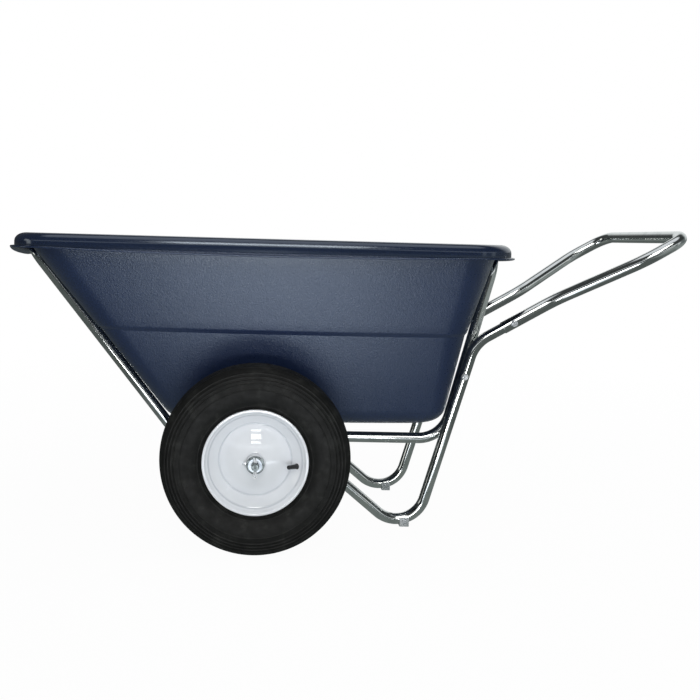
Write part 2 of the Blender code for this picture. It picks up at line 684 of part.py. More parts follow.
def mirrored(points, crown):
    """A symmetric section's outline, from its outer side over the crown to its inner side."""
    return tuple(points) + ((crown, 0.0),) + tuple((r, -s) for r, s in reversed(points))


def build_rims(word, wheel):
    outer_profile = sheet_profile(RIM_OUTER, RIM_THICKNESS)
    inner_profile = tuple((r, -s) for r, s in outer_profile)
    outer = turned(word + "_rim_outer", tuple(reversed(outer_profile)), RIM_SEGMENTS, "white",
                   wheel)
    turned(word + "_rim_inner", inner_profile, RIM_SEGMENTS, "white", wheel)
    return outer


def build_tyre(word, wheel):
    outside = mirrored(TYRE_OUTER, TYRE_CROWN)
    inside = mirrored(TYRE_INNER, TYRE_INNER_CROWN)
    turned(word + "_tyre", outside + tuple(reversed(inside)), TYRE_SEGMENTS, "rubber", wheel,
           rotation=(0, 0, pi / TYRE_SEGMENTS))


def build_air_tube(word, wheel):
    """The air tube: a thin closed ring of rubber, open only where the valve stem enters."""
    section = mirrored(AIR_TUBE, AIR_TUBE_CROWN) + ((AIR_TUBE_ROOT, 0.0),)
    name = word + "_air_tube"
    blank = turned(name + "_blank", section, HUB_SEGMENTS, "rubber", wheel)
    depsgraph = bpy.context.evaluated_depsgraph_get()
    mesh = bpy.data.meshes.new_from_object(blank.evaluated_get(depsgraph))
    bpy.data.objects.remove(blank, do_unlink=True)
    seat = Vector((VALVE_SEAT[0] + STEM_ROOT[0], 0, VALVE_SEAT[1] + STEM_ROOT[1]))
    seat.rotate(Matrix.Rotation(VALVE_TURN, 3, "Z"))
    form = bmesh.new()
    form.from_mesh(mesh)
    opening = min(form.faces, key=lambda face: (face.calc_center_median() - seat).length)
    bmesh.ops.delete(form, geom=[opening], context="FACES")
    form.to_mesh(mesh)
    form.free()
    mesh.name = name
    tube = add_piece(name, mesh, "rubber", wheel)
    thicken(tube, AIR_TUBE_WALL)


def build_valve(word, wheel, rim):
    """Valve stem square to the rim's sloping band, with its cap."""
    turn = (0, -pi / 4, VALVE_TURN)
    seat = (VALVE_SEAT[0] * cos(VALVE_TURN), VALVE_SEAT[0] * sin(VALVE_TURN), VALVE_SEAT[1])
    behind = RIM_THICKNESS + GAP
    neck, root = VALVE_LENGTH - VALVE_TAPER[0], VALVE_TAPER[1]
    below = behind + PAD_HEIGHT
    stem = ((0.0, VALVE_LENGTH), (VALVE_TIP, VALVE_LENGTH), (VALVE_NECK, neck),
            (VALVE_RADIUS, root), (VALVE_RADIUS, -behind), (VALVE_PAD, -behind),
            (VALVE_PAD * 0.9, -below), (0.0, -below))
    turned(word + "_valve_stem", stem, SMALL_SEGMENTS, "rubber", wheel, seat, turn)
    base = VALVE_LENGTH + GAP
    top = base + CAP_HEIGHT
    cap = ((0.0, top), (CAP_TOP, top), (CAP_RADIUS, top - CAP_EDGE), (CAP_RADIUS, base), (0.0, base))
    turned(word + "_valve_cap", cap, SMALL_SEGMENTS, "rubber", wheel, seat, turn)
    cut(rim, add_cutter(word + "_valve_hole", VALVE_RADIUS + GAP, VALVE_HOLE_LENGTH, wheel,
                        seat, turn))


def build_hub(word, wheel):
    hub = turned(word + "_hub_tube", ring_profile(HUB_BORE, HUB_RADIUS, -HUB_HALF, HUB_HALF),
                 RIM_SEGMENTS, "white", wheel)
    levels = [(HUB_RADIUS + height, radius, sides) for height, radius, sides in GREASE_SECTION]
    fitting = stack(word + "_grease_fitting", levels)
    turn = (0, -pi / 2, 0)
    add_piece(word + "_grease_fitting", fitting, "pale_zinc", wheel, (0, 0, GREASE_OUT), turn)
    cut(hub, add_cutter(word + "_grease_hole", GREASE_SHANK + GAP, HOLE_PAST, wheel,
                        (-HUB_RADIUS, 0, GREASE_OUT), turn))
    barrel = HUB_BORE - GAP
    for place, sign in (("outer", 1), ("inner", -1)):
        profile = ((HUB_RADIUS, HUB_HALF + BEARING_FLANGE), (HUB_RADIUS, HUB_HALF + GAP / 2),
                   (barrel, HUB_HALF + GAP / 2), (barrel, HUB_HALF - BEARING_LENGTH),
                   (AXLE_RADIUS + GAP, HUB_HALF - BEARING_LENGTH),
                   (AXLE_RADIUS + GAP, HUB_HALF + BEARING_FLANGE))
        if sign < 0:
            profile = tuple((r, -s) for r, s in reversed(profile))
        turned(word + "_" + place + "_bearing", profile, HUB_SEGMENTS, "steel", wheel)


def build_wheel(word, cart):
    side = SIDES[word]
    wheel = add_empty(word + "_wheel_axis", (0, side * WHEEL_OFFSET, AXLE_HEIGHT), -side * pi / 2,
                      cart)
    rim = build_rims(word, wheel)
    build_tyre(word, wheel)
    build_air_tube(word, wheel)
    build_valve(word, wheel, rim)
    build_hub(word, wheel)
    build_axle_hardware(word, cart)


def build_cart():
    cart = add_empty("cart_frame", (-AXLE_TO_MIDDLE, 0, 0))
    build_tub(cart)
    build_frame(cart)
    build_axle(cart)
    for word in SIDES:
        build_wheel(word, cart)


build_cart()
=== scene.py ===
"""Garden cart, finished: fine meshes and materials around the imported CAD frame.

+X runs from the nose of the tub to the handle, -Y faces the camera and +Z is up, in metres.
Lengths along X are given from the axle; SHIFT then puts them in the frame's own place.
"""

from math import asin, atan, atan2, ceil, cos, hypot, pi, radians, sin, sqrt, tan

import bpy
import numpy as np
from mathutils import Matrix, Vector


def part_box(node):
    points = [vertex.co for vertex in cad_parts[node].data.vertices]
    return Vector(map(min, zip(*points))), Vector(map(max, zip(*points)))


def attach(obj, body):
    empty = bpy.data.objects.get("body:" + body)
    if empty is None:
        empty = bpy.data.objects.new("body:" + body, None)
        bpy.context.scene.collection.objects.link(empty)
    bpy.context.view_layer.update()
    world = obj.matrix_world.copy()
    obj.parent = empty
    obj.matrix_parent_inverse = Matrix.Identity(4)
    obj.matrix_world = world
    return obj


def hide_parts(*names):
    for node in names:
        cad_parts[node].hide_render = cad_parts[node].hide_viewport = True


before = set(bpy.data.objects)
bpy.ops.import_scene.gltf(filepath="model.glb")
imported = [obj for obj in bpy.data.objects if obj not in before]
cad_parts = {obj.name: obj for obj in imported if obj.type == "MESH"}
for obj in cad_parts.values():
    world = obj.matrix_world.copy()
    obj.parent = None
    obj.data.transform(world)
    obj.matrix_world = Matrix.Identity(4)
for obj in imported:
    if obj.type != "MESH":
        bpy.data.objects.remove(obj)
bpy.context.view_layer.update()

# --- dimensions, in metres, mostly the CAD's own ---

AXLE_X = sum(corner.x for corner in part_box("axle")) / 2
AXLE_HEIGHT = sum(corner.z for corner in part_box("axle")) / 2
SHIFT = Matrix.Translation((AXLE_X, 0, 0))
WHEEL_OFFSET = 0.330
SIDES = {"left": -1, "right": 1}

TUBE_RADIUS, TUBE_WALL = 0.0127, 0.0016
TUBE_SIDES = 32
BEND_STEP = radians(3)

TUB_WALL = 0.004
TUB_BOTTOM = 0.249
WALL_TOP = 0.640
FRONT_WALL = (0.5175, 0.80, 0.77, 0.002)
REAR_WALL = (0.541, 0.29, 0.185, 0.002)
SIDE_WALL = (0.320, 0.274, 0.274, 0.004)
STEP_HEIGHT, STEP_FOOT, STEP_RISE, STEP_NICK = 0.465, 0.4590, 0.0125, 0.0021
FLOOR_FILLET = 0.048
WALL_CORNER, CORNER_GROWTH = 0.046, 0.11
END_BOW, SIDE_BOW = 0.015, 0.014
BEAD_FRONT, BEAD_REAR, BEAD_SIDE = 0.5608, 0.5811, 0.346
BEAD_CORNER, BEAD_END_BOW, BEAD_SIDE_BOW = 0.095, 0.030, 0.015
FRONT_DROOP, REAR_DROOP, SIDE_DROOP = 0.022, 0.0090, 0.0065
DROOP_POWER = 1.2
END_STEPS, CORNER_STEPS, SIDE_STEPS = 14, 14, 16

RAIL_OFFSET = 0.117
HOOP_TOP = 0.6525
HOOP_CORNER = 0.064
RAIL_BEND = 0.075
FRONT_STAY = (-0.5285, 0.629, -0.80)
REAR_POST = (0.547, 0.588, 0.26)
RAIL_JOINT = 0.110

LEG_OFFSET = 0.143
LEG_FRONT_BOLT = 0.0837
STAY_ANGLE = radians(39.5)
LEG_LINE = (0.4715, 0.3006, 0.29)
GROUND_BEND, STEM_BEND = 0.0690, 0.085
FLAT_LENGTH, FLAT_BLEND, FLAT_HALF_WIDTH, FLAT_HALF_THICKNESS = 0.030, 0.042, 0.0185, 0.0021
LEG_END = 0.015
HANDLE_RADIUS, HANDLE_WALL = 0.0143, 0.0015
HANDLE_POINT, HANDLE_SLOPE = (0.6259, 0.5028), 0.575
HANDLE_START = 0.5766
HANDLE_CORNERS = ((0.700, 0.143, 0.16), (0.873, 0.228, 0.16), (0.967, 0.2215, 0.046))

FOOT_X, FOOT_LENGTH, FOOT_HEIGHT = 0.355, 0.022, 0.0215
FOOT_PLATE, FOOT_FLOOR, FOOT_CLEARANCE = 0.002, 0.0025, 0.0004
FOOT_BOLT_HEIGHT = 0.0140
REAR_BOLT = (0.487, 0.3585)
HANDLE_BOLT = 0.599

AXLE_RADIUS, AXLE_END = 0.0079, 0.405
HUB_RADIUS, HUB_BORE, HUB_HALF = 0.0190, 0.0172, 0.054
BEARING_FLANGE = 0.003
WASHER_RADIUS, WASHER_THICKNESS = 0.0150, 0.0025
SLEEVE_RADIUS = 0.0110
PIN_RADIUS, PIN_EYE, PIN_OFFSET = 0.0015, 0.0040, 0.0665
PIN_DROP, PIN_RISE, PIN_SPLAY = 0.0200, 0.0105, 0.0018
GAP = 0.0003
RIM_THICKNESS = 0.002
DOME_RADIUS, DOME_DEPTH = 0.120, 0.0847
VALVE_SEAT, VALVE_TURN = (0.0885, 0.0190), radians(-7)
GREASE_OUT = 0.0455

# --- shape that only the finished pieces have, in metres ---

# The tub's wall: its floor fillet, the heights of its rings either side of the step, and the
# step itself, which starts a little below STEP_FOOT and is dished by STEP_NICK.
FILLET_TURN, FILLET_STEPS = radians(79.5), 12
LOWER_HEIGHTS = [0.310, 0.345, 0.380, 0.415, 0.440]
UPPER_HEIGHTS = [0.490, 0.520, 0.550, 0.580, 0.610, WALL_TOP]
STEP_LEAD, STEP_ROWS, STEP_EASE, STEP_CURVE = 0.0006, 10, 1.5, 1.6

# The rim: share of the way from the wall's top to the bead's face, height, share of the droop.
RIM_TOP = 0.6660
RIM_INSIDE = ((0.01, 0.648, 0), (0.03, 0.655, 0), (0.07, 0.6605, 0), (0.13, 0.6643, 0),
              (0.21, RIM_TOP, 0))
SHOULDER_START, SHOULDER_END, SHOULDER_DROP = 0.30, 1.003, 0.0155
SHOULDER_ROWS, SHOULDER_POWER = 12, 0.9
RIM_FACE = (
    (1.005, 0.6480, 0.02), (1.005, 0.6455, 0.15), (1.000, 0.6430, 0.35), (1.000, 0.6412, 0.60),
    (1.015, 0.6398, 0.80), (1.060, 0.6390, 0.92), (1.120, 0.6387, 1.0), (1.220, 0.6384, 1.0),
    (1.320, 0.6378, 1.0),
)
LIP_TURNS = (60, 30, 0, -30, -60)
TUB_MIDDLE = 0.02

TUBE_DEPTH, TUBE_PINHOLE, TUBE_EASE = 0.030, 0.0002, 0.0003
LEG_END_ROWS = [0, 0.0006, 0.0015, 0.003, 0.005, 0.008, 0.02]
LEG_END_CORNER, LEG_SQUARENESS, LEG_BLEND_ROWS = 0.008, 5, 14
LEG_IN_HANDLE = 0.012

# Bolts and nuts at size 1. Half is across the flats.
HEX_HALF, HEX_CORNER = 0.0065, 1.135
HEAD_HEIGHT, FLANGE_HEIGHT, FLANGE_RADIUS, NUT_HEIGHT = 0.0070, 0.0018, 0.0083, 0.0065
THREAD_PAST = 0.0115
BOLT_RADIUS, FOOT_BOLT_RADIUS, FOOT_BOLT_SIZE = 0.004, 0.0025, 0.6
FOOT_OUTER_BEND, FOOT_INNER_BEND, FOOT_LIP, FOOT_EDGE = 0.0030, 0.0012, 0.0006, 0.0005

AXLE_CHAMFER = 0.0012
AXLE_CENTRE = ((0, AXLE_END - 0.0008), (0.0016, AXLE_END - 0.0008), (0.0024, AXLE_END))
WASHER_EDGE, SLEEVE_EDGE = 0.0005, 0.0004
PIN_CLEARANCE, PIN_OPENING, PIN_ROWS, PIN_EYE_ROWS = 1.03, radians(28), 8, 36

# A bearing's face, from its flange in to its bore: radius and depth, with a groove and a ring.
BEARING_BORE, BEARING_LENGTH = 0.0082, 0.010
BEARING_FACE = ((0.0172, 0), (0.0168, 0.0010), (0.0160, 0.0012), (0.0152, 0.0010), (0.0149, 0),
                (0.0118, 0), (0.0115, 0.0008), (0.0112, 0), (BEARING_BORE, 0))

# The tyre: (radius, half width) up the sidewall, its ribs (radius, width, height), its tread.
TYRE_SIDE = ((0.1050, 0.0315), (0.1100, 0.0345), (0.1150, 0.0365), (0.1230, 0.0437),
             (0.1350, 0.0495), (0.1530, 0.0520), (0.1700, 0.0502), (0.1835, 0.0450),
             (0.1935, 0.0365), (0.1985, 0.0300))
SIDEWALL_RIBS = ((0.1200, 0.0030, 0.0010), (0.1560, 0.0022, 0.0009), (0.1680, 0.0032, 0.0012),
                 (0.1750, 0.0032, 0.0013), (0.1820, 0.0034, 0.0014), (0.1890, 0.0034, 0.0014))
RIB_FLAT = 0.45
TREAD_HALF, TREAD_FALL, TREAD_ROWS = 0.0300, 0.0045, 64
TREAD_GROOVES = (0.0040, 0.0125, 0.0210, 0.0290)
GROOVE_DEPTH, GROOVE_HALF, GROOVE_EDGE = 0.0028, 0.0007, 0.0008

# The rim half's face from its flange to the dome: radius, distance out, bend radius.
RIM_LINE = (
    (0.1120, 0.0368, 0), (0.1117, 0.0406, 0.0018), (0.1066, 0.0409, 0.0026),
    (0.1030, 0.0340, 0.0050), (0.0996, 0.0304, 0.0006), (0.0984, 0.0282, 0.0006),
    (0.0962, 0.0268, 0.0006), (0.0790, 0.0103, 0.0010), (0.0772, 0.0080, 0.0010),
    (0.0752, 0.0086, 0.0010), (0.0742, 0.0096, 0),
)
DOME_START, DOME_STOP, DOME_ROWS = 0.0742, 0.0240, 20
RIM_COLLAR = [(0.0226, 0.0333), (0.0210, 0.0339), (0.0197, 0.0352)]
# Radii of the rim's two creases, where the enamel carries a ring of painted shade.
CREASES = (0.0984, 0.0770)

VALVE_STEM = (
    (0, 0.0213), (0.0034, 0.0213), (0.0041, 0.0205), (0.0043, 0.0185), (0.0048, 0.0120),
    (0.0050, 0.0060), (0.0050, 0.0015), (0.0062, 0.0004), (0.0070, -0.0004), (0.0050, -0.0010),
    (0.0050, -0.0028), (0, -0.0028),
)
# The valve cap: height above its base, radius, and whether it is knurled there.
CAP_BASE, CAP_KNURL = 0.0218, 0.0003
CAP_LEVELS = ((0, 0.0038, 0), (0, 0.0044, 0), (0.0008, 0.0045, 1), (0.0038, 0.0044, 1),
              (0.0046, 0.0042, 0), (0.0053, 0.0037, 0), (0.0055, 0.0028, 0))
# The grease fitting: height above the hub, radius, and how hexagonal it is there.
GREASE_LEVELS = (
    (-0.0018, 0.0027, 0), (0.0003, 0.0027, 0), (0.0003, 0.0036, 1), (0.0028, 0.0036, 1),
    (0.0034, 0.0031, 0), (0.0036, 0.0022, 0), (0.0058, 0.0019, 0), (0.0064, 0.0026, 0),
    (0.0074, 0.0029, 0), (0.0082, 0.0022, 0), (0.0085, 0.0010, 0),
)

# --- studio ---

# The camera solved against the photo: place from the axle, yaw, pitch and roll in degrees,
# focal length and optical centre in pixels of a 700-pixel frame.
FRAME_PIXELS, SENSOR = 700, 36
CAMERA_PLACE = (-0.0038, -2.0931, 0.6700)
CAMERA_TURN = (2.0, 2.465, 1.559)
FOCAL_PIXELS, OPTICAL_CENTRE = 837.0, (287.44, 275.32)

# Lights: name, place, target, size, power in watts, whether glossy surfaces mirror it.
LIGHTS = (
    ("key", (-0.4, -3.0, 1.1), (-0.1, 0, 0.35), (1.6, 1.0), 7, False),
    ("low", (-0.2, -2.3, 0.16), (-0.2, 0, 0.45), (1.3, 0.24), 11, True),
    ("top", (0.1, -0.3, 2.8), (0, 0, 0.3), (2.4, 1.8), 15, False),
    ("back", (0.6, 2.6, 1.9), (0, 0, 0.4), (1.8, 1.2), 14, False),
)

# The floor as the object sees it, glowing with painted light: a bright pool of light in front, and
# painted shade that dims it by the cart and to each side.
FLOOR_HALF, FLOOR_LEVEL = 14.0, -0.0006
PATCH_NEAR, PATCH_FAR, PATCH_FAR_SHARE = (-0.78, -0.98), (-1.42, -0.98), 0.22
PATCH_X, PATCH_SIDE = -0.14, (0.38, 0.66)
MARGIN_X, MARGIN_EDGES, FAR_EDGES = -0.05, (0.45, 0.80), (1.50, 2.10)
FLOOR_DIM = (0.20, 0.225, 0.215)
FLOOR_MARGIN = (0.11, 0.125, 0.12)
FLOOR_FAR = (0.30, 0.33, 0.32)
FLOOR_BRIGHT = (3.60, 3.80, 4.05)
# The floor as the camera sees it: how much of it is plain white, near and far.
FLOOR_WHITE, FLOOR_FADE = 0.97, (1.0, 3.0, 0.0, 0.03)

# The room as the object sees it, by direction: bands along X, Y and Z, each 1 between its
# middle two edges and 0 outside the outer two, and a colour laid over what comes before it.
WALLS = (0.055, 0.060, 0.060)
LEFT, RIGHT = (-1.2, -1.1), (1.1, 1.2)
WINDOW = (-0.17, -0.15, 0.17, 0.19), (*LEFT, -0.3, -0.2)
ROOM = (
    (None, None, (*LEFT, -0.22, -0.08), (0.20, 0.225, 0.215)),
    (None, None, (0.86, 0.93, *RIGHT), (0.95, 0.97, 1.0)),
    ((0.35, 0.55, *RIGHT), None, (*LEFT, 0.35, 0.55), (0.17, 0.19, 0.19)),
    ((-0.35, -0.05, *RIGHT), (0.20, 0.50, *RIGHT), (0.02, 0.15, 0.55, 0.75), (0.85, 0.88, 0.88)),
    (*WINDOW, (0.395, 0.40, 0.47, 0.475), (6.5, 6.5, 6.3)),
    (*WINDOW, (0.535, 0.54, 0.68, 0.685), (8.5, 8.4, 8.1)),
    (*WINDOW, (0.745, 0.75, 0.80, 0.805), (6.5, 6.5, 6.3)),
    ((0.80, 0.84, 0.90, 0.92), (*LEFT, -0.1, 0.0), (*LEFT, 0.25, 0.35), (0.65, 0.68, 0.66)),
    ((0.50, 0.52, 0.60, 0.64), (*LEFT, -0.1, 0.0), (*LEFT, 0.25, 0.35), (0.65, 0.68, 0.66)),
    (None, (*LEFT, -0.5, -0.3), (0.20, 0.23, 0.31, 0.34), (0.95, 0.98, 1.0)),
    ((-0.99, -0.975, -0.93, -0.91), (*LEFT, 0.0, 0.05), (-0.10, 0.0, 0.5, 0.6), (1.6, 1.6, 1.5)),
)


# --- meshes ---

def add_piece(mesh, body, nodes, material, place=None, sharp=38):
    """A piece named like its mesh, which moves to the frame's own place, for some CAD nodes."""
    mesh.transform(SHIFT @ (place or Matrix.Identity(4)))
    mesh.shade_smooth()
    mesh.set_sharp_from_angle(angle=radians(sharp))
    piece = bpy.data.objects.new(mesh.name, mesh)
    bpy.context.scene.collection.objects.link(piece)
    mesh.materials.append(material)
    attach(piece, body)
    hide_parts(*nodes)


def grid_mesh(name, rings, cap=False, loop=False):
    """A mesh through rings of equally many points; cap closes both ends, loop joins them."""
    count = len(rings[0])
    faces = []
    for row in range(len(rings) if loop else len(rings) - 1):
        low = row * count
        high = (row + 1) % len(rings) * count
        for k in range(count):
            nxt = (k + 1) % count
            faces.append((low + k, low + nxt, high + nxt, high + k))
    if cap:
        faces.append(tuple(reversed(range(count))))
        faces.append(tuple(range((len(rings) - 1) * count, len(rings) * count)))
    mesh = bpy.data.meshes.new(name)
    mesh.from_pydata([tuple(p) for ring in rings for p in ring], [], faces)
    mesh.validate()
    return face_out(mesh)


def face_out(mesh):
    """Turn a closed mesh so that its faces point out."""
    volume = 0.0
    mesh.calc_loop_triangles()
    for tri in mesh.loop_triangles:
        a, b, c = (mesh.vertices[k].co for k in tri.vertices)
        volume += a.dot(b.cross(c))
    if volume < 0:
        mesh.flip_normals()
    return mesh


def turned(name, profile, segments=96):
    """A closed (radius, height) outline turned round Z. Points on the axis become poles."""
    points, rows = [], []
    for radius, height in profile:
        if radius < 1e-7:
            rows.append([len(points)] * segments)
            points.append((0, 0, height))
            continue
        rows.append(list(range(len(points), len(points) + segments)))
        for k in range(segments):
            angle = 2 * pi * k / segments
            points.append((radius * cos(angle), radius * sin(angle), height))
    faces = []
    for row, after in zip(rows, rows[1:] + rows[:1]):
        for k in range(segments):
            nxt = (k + 1) % segments
            face = []
            for index in (row[k], row[nxt], after[nxt], after[k]):
                if index not in face:
                    face.append(index)
            if len(face) > 2:
                faces.append(tuple(face))
    mesh = bpy.data.meshes.new(name)
    mesh.from_pydata(points, [], faces)
    return face_out(mesh)


def bent_path(corners, step=BEND_STEP):
    """Points along a centre line, from corners (place, bend radius)."""
    points = [Vector(corners[0][0])]
    for k in range(1, len(corners) - 1):
        corner, radius = Vector(corners[k][0]), corners[k][1]
        if radius == 0:
            points.append(corner)
            continue
        back = (Vector(corners[k - 1][0]) - corner).normalized()
        ahead = (Vector(corners[k + 1][0]) - corner).normalized()
        turn = pi - back.angle(ahead)
        if turn < 1e-3:
            points.append(corner)
            continue
        start = corner + back * radius * tan(turn / 2)
        centre = corner + (back + ahead).normalized() * radius / cos(turn / 2)
        axis = back.cross(ahead)
        steps = max(2, ceil(turn / step))
        for index in range(steps + 1):
            swing = Matrix.Rotation(-turn * index / steps, 3, axis)
            points.append(centre + swing @ (start - centre))
    points.append(Vector(corners[-1][0]))
    return points


def rounded_outline(corners, step=radians(15)):
    """A 2D outline (u, v, radius) with its corners rounded, as (u, v) pairs."""
    path = bent_path([((u, 0, v), radius) for u, v, radius in corners], step)
    return [(p.x, p.z) for p in path]


def path_frames(path):
    """A heading and two cross directions at each point, turning as little as they can."""
    headings = []
    for k in range(len(path)):
        before, after = path[max(k - 1, 0)], path[min(k + 1, len(path) - 1)]
        headings.append((after - before).normalized())
    across = Vector((0, 1, 0)) if abs(headings[0].y) < 0.9 else Vector((1, 0, 0))
    frames = []
    for heading in headings:
        across = (across - heading * across.dot(heading)).normalized()
        frames.append((heading, across, heading.cross(across)))
    return frames


def tube_mesh(name, path, radius, wall, open_start=True, open_end=True, sides=TUBE_SIDES):
    """A tube along a path. An open end shows its wall and goes on inside for some way."""
    frames = path_frames(path)

    def ring(place, index, size):
        across, up = frames[index][1], frames[index][2]
        return [place + (across * cos(a) + up * sin(a)) * size
                for a in (2 * pi * k / sides for k in range(sides))]

    def mouth(index, sign):
        """Rings from the inside out: the tube's bore, its inner edge and its outer edge."""
        place, heading = path[index], frames[index][0] * sign
        inner = radius - wall
        deep, eased = place - heading * TUBE_DEPTH, place - heading * TUBE_EASE
        spots = ((deep, TUBE_PINHOLE), (deep, inner), (place, inner), (place, radius - TUBE_EASE),
                 (eased, radius))
        return [ring(spot, index, size) for spot, size in spots]

    rings = [ring(path[k], k, radius) for k in range(1, len(path) - 1)]
    start = mouth(0, -1) if open_start else [ring(path[0], 0, radius)]
    end = mouth(len(path) - 1, 1) if open_end else [ring(path[-1], len(path) - 1, radius)]
    return grid_mesh(name, start + rings + list(reversed(end)), cap=True)


def crossing(line, other):
    """Where two lines (x, z, dx/dz) cross, in side view."""
    x1, z1, lean1 = line
    x2, z2, lean2 = other
    z = (x2 - x1 + lean1 * z1 - lean2 * z2) / (lean1 - lean2)
    return x1 + lean1 * (z - z1), z


def on_line(line, z):
    return line[0] + line[2] * (z - line[1])


def handle_height(x):
    return HANDLE_POINT[1] + HANDLE_SLOPE * (x - HANDLE_POINT[0])


def smoothstep(x):
    x = min(max(x, 0), 1)
    return x * x * (3 - 2 * x)


# --- tub ---

def wall_reach(z, wall):
    """How far a wall's outer face lies out at height z, with its step and its floor fillet."""
    top_reach, upper_lean, lower_lean, step = wall
    upper = top_reach - upper_lean * (WALL_TOP - z)
    below_step = top_reach - upper_lean * (WALL_TOP - STEP_HEIGHT) - step
    lower = below_step - lower_lean * (STEP_HEIGHT - z)
    rise = z - TUB_BOTTOM
    turn = atan2(1, lower_lean)
    if rise < FLOOR_FILLET * (1 - cos(turn)):
        foot = below_step - lower_lean * (STEP_HEIGHT - TUB_BOTTOM)
        start = foot - FLOOR_FILLET * tan(turn / 2)
        return start + sqrt(max(FLOOR_FILLET ** 2 - (FLOOR_FILLET - rise) ** 2, 0))
    share = min(max((z - STEP_FOOT) / STEP_RISE, 0), 1)
    nick = STEP_NICK * 4 * share * (1 - share) ** 3
    return lower + (upper - lower) * (1 - (1 - share) ** STEP_CURVE) - nick


def quarter_outline(length, width, corner, end_turn, side_turn):
    """A quarter of a bowed rectangle with round corners, as (x, y, end share, side share)."""
    sums = np.array([[1 - cos(end_turn), sin(side_turn)], [sin(end_turn), 1 - cos(side_turn)]])
    rest = np.array([length - corner * (cos(end_turn) - sin(side_turn)),
                     width - corner * (cos(side_turn) - sin(end_turn))])
    end_radius, side_radius = np.linalg.solve(sums, rest)
    arcs = (
        (end_radius, pi / 2, pi / 2 + end_turn, END_STEPS),
        (corner, pi / 2 + end_turn, pi - side_turn, CORNER_STEPS),
        (side_radius, pi - side_turn, pi, SIDE_STEPS),
    )
    x, y = length, 0.0
    points = [(x, y, 1.0, 0.0)]
    for index, (radius, start, stop, steps) in enumerate(arcs):
        for k in range(steps):
            heading = start + (stop - start) * k / steps
            after = start + (stop - start) * (k + 1) / steps
            x += radius * (sin(after) - sin(heading))
            y += radius * (cos(heading) - cos(after))
            share = (k + 1) / steps
            end_share = 1 - share ** DROOP_POWER if index == 0 else 0.0
            side_share = 1 - (1 - share) ** 2 if index == 2 else 0.0
            points.append((x, y, end_share, side_share))
    return points


def tub_ring(z, front, rear, side, corner, end_bow, side_bow, droop):
    """One ring round the tub, anticlockwise from the middle of the rear end."""
    length = (front + rear) / 2
    middle = (rear - front) / 2
    end_turn = 2 * atan(end_bow / (side - corner))
    side_turn = 2 * atan(side_bow / (length - corner))
    quarter = quarter_outline(length, side, corner, end_turn, side_turn)
    ring = []
    for x_sign, y_sign in ((1, 1), (-1, 1), (-1, -1), (1, -1)):
        points = quarter if x_sign == y_sign else list(reversed(quarter))
        end_droop = REAR_DROOP if x_sign > 0 else FRONT_DROOP
        for x, y, end_share, side_share in points[:-1]:
            fall = droop * (end_share * end_droop + side_share * SIDE_DROOP)
            ring.append((middle + x_sign * x, y_sign * y, z - fall))
    return ring


def wall_ring(z):
    corner = WALL_CORNER + CORNER_GROWTH * (z - TUB_BOTTOM)
    reaches = [wall_reach(z, wall) for wall in (FRONT_WALL, REAR_WALL, SIDE_WALL)]
    return tub_ring(z, *reaches, corner, END_BOW, SIDE_BOW, 0)


def rim_ring(share, z, droop):
    """A ring of the rim, a share of the way from the wall's top to the bead's face."""
    wall = (FRONT_WALL[0], REAR_WALL[0], SIDE_WALL[0],
            WALL_CORNER + CORNER_GROWTH * (WALL_TOP - TUB_BOTTOM), END_BOW, SIDE_BOW)
    bead = (BEAD_FRONT, BEAD_REAR, BEAD_SIDE, BEAD_CORNER, BEAD_END_BOW, BEAD_SIDE_BOW)
    sizes = [a + (b - a) * share for a, b in zip(wall, bead)]
    return tub_ring(z, *sizes, droop)


def rim_rings():
    rings = [rim_ring(*level) for level in RIM_INSIDE]
    for k in range(SHOULDER_ROWS + 1):
        angle = pi / 2 * k / SHOULDER_ROWS
        share = SHOULDER_START + (SHOULDER_END - SHOULDER_START) * sin(angle) ** SHOULDER_POWER
        z = RIM_TOP - SHOULDER_DROP * (1 - cos(angle) ** SHOULDER_POWER)
        rings.append(rim_ring(share, z, 0))
    return rings + [rim_ring(*level) for level in RIM_FACE]


def tub_rings():
    turns = [FILLET_TURN * k / FILLET_STEPS for k in range(FILLET_STEPS + 1)]
    heights = [TUB_BOTTOM + FLOOR_FILLET * (1 - cos(turn)) for turn in turns]
    heights += LOWER_HEIGHTS + [STEP_FOOT - STEP_LEAD]
    heights += [STEP_FOOT + STEP_RISE * (k / STEP_ROWS) ** STEP_EASE for k in range(STEP_ROWS + 1)]
    heights += UPPER_HEIGHTS
    return [wall_ring(z) for z in heights] + rim_rings()


def build_tub(material):
    """The tub: its outer skin, a rounded lip, and the skin again one wall thickness inside."""
    skin = np.array(tub_rings())
    along = np.roll(skin, -1, axis=1) - np.roll(skin, 1, axis=1)
    across = np.gradient(skin, axis=0)
    across[0] = np.array([skin[0][:, 0] - TUB_MIDDLE, skin[0][:, 1], skin[0][:, 2] * 0]).T
    normals = np.cross(along, across)
    normals /= np.linalg.norm(normals, axis=2, keepdims=True)
    outward = across[-1] / np.linalg.norm(across[-1], axis=1, keepdims=True)
    half = TUB_WALL / 2
    rings = [list(map(tuple, ring)) for ring in skin]
    for degrees in LIP_TURNS:
        angle = radians(degrees)
        edge = skin[-1] - normals[-1] * half
        edge = edge + normals[-1] * half * sin(angle) + outward * half * cos(angle)
        rings.append(list(map(tuple, edge)))
    for ring in reversed(skin - normals * TUB_WALL):
        rings.append(list(map(tuple, ring)))
    mesh = grid_mesh("tub_shell", rings, cap=True)
    add_piece(mesh, "tub", ["tub"], material, sharp=60)


# --- frame tubes ---

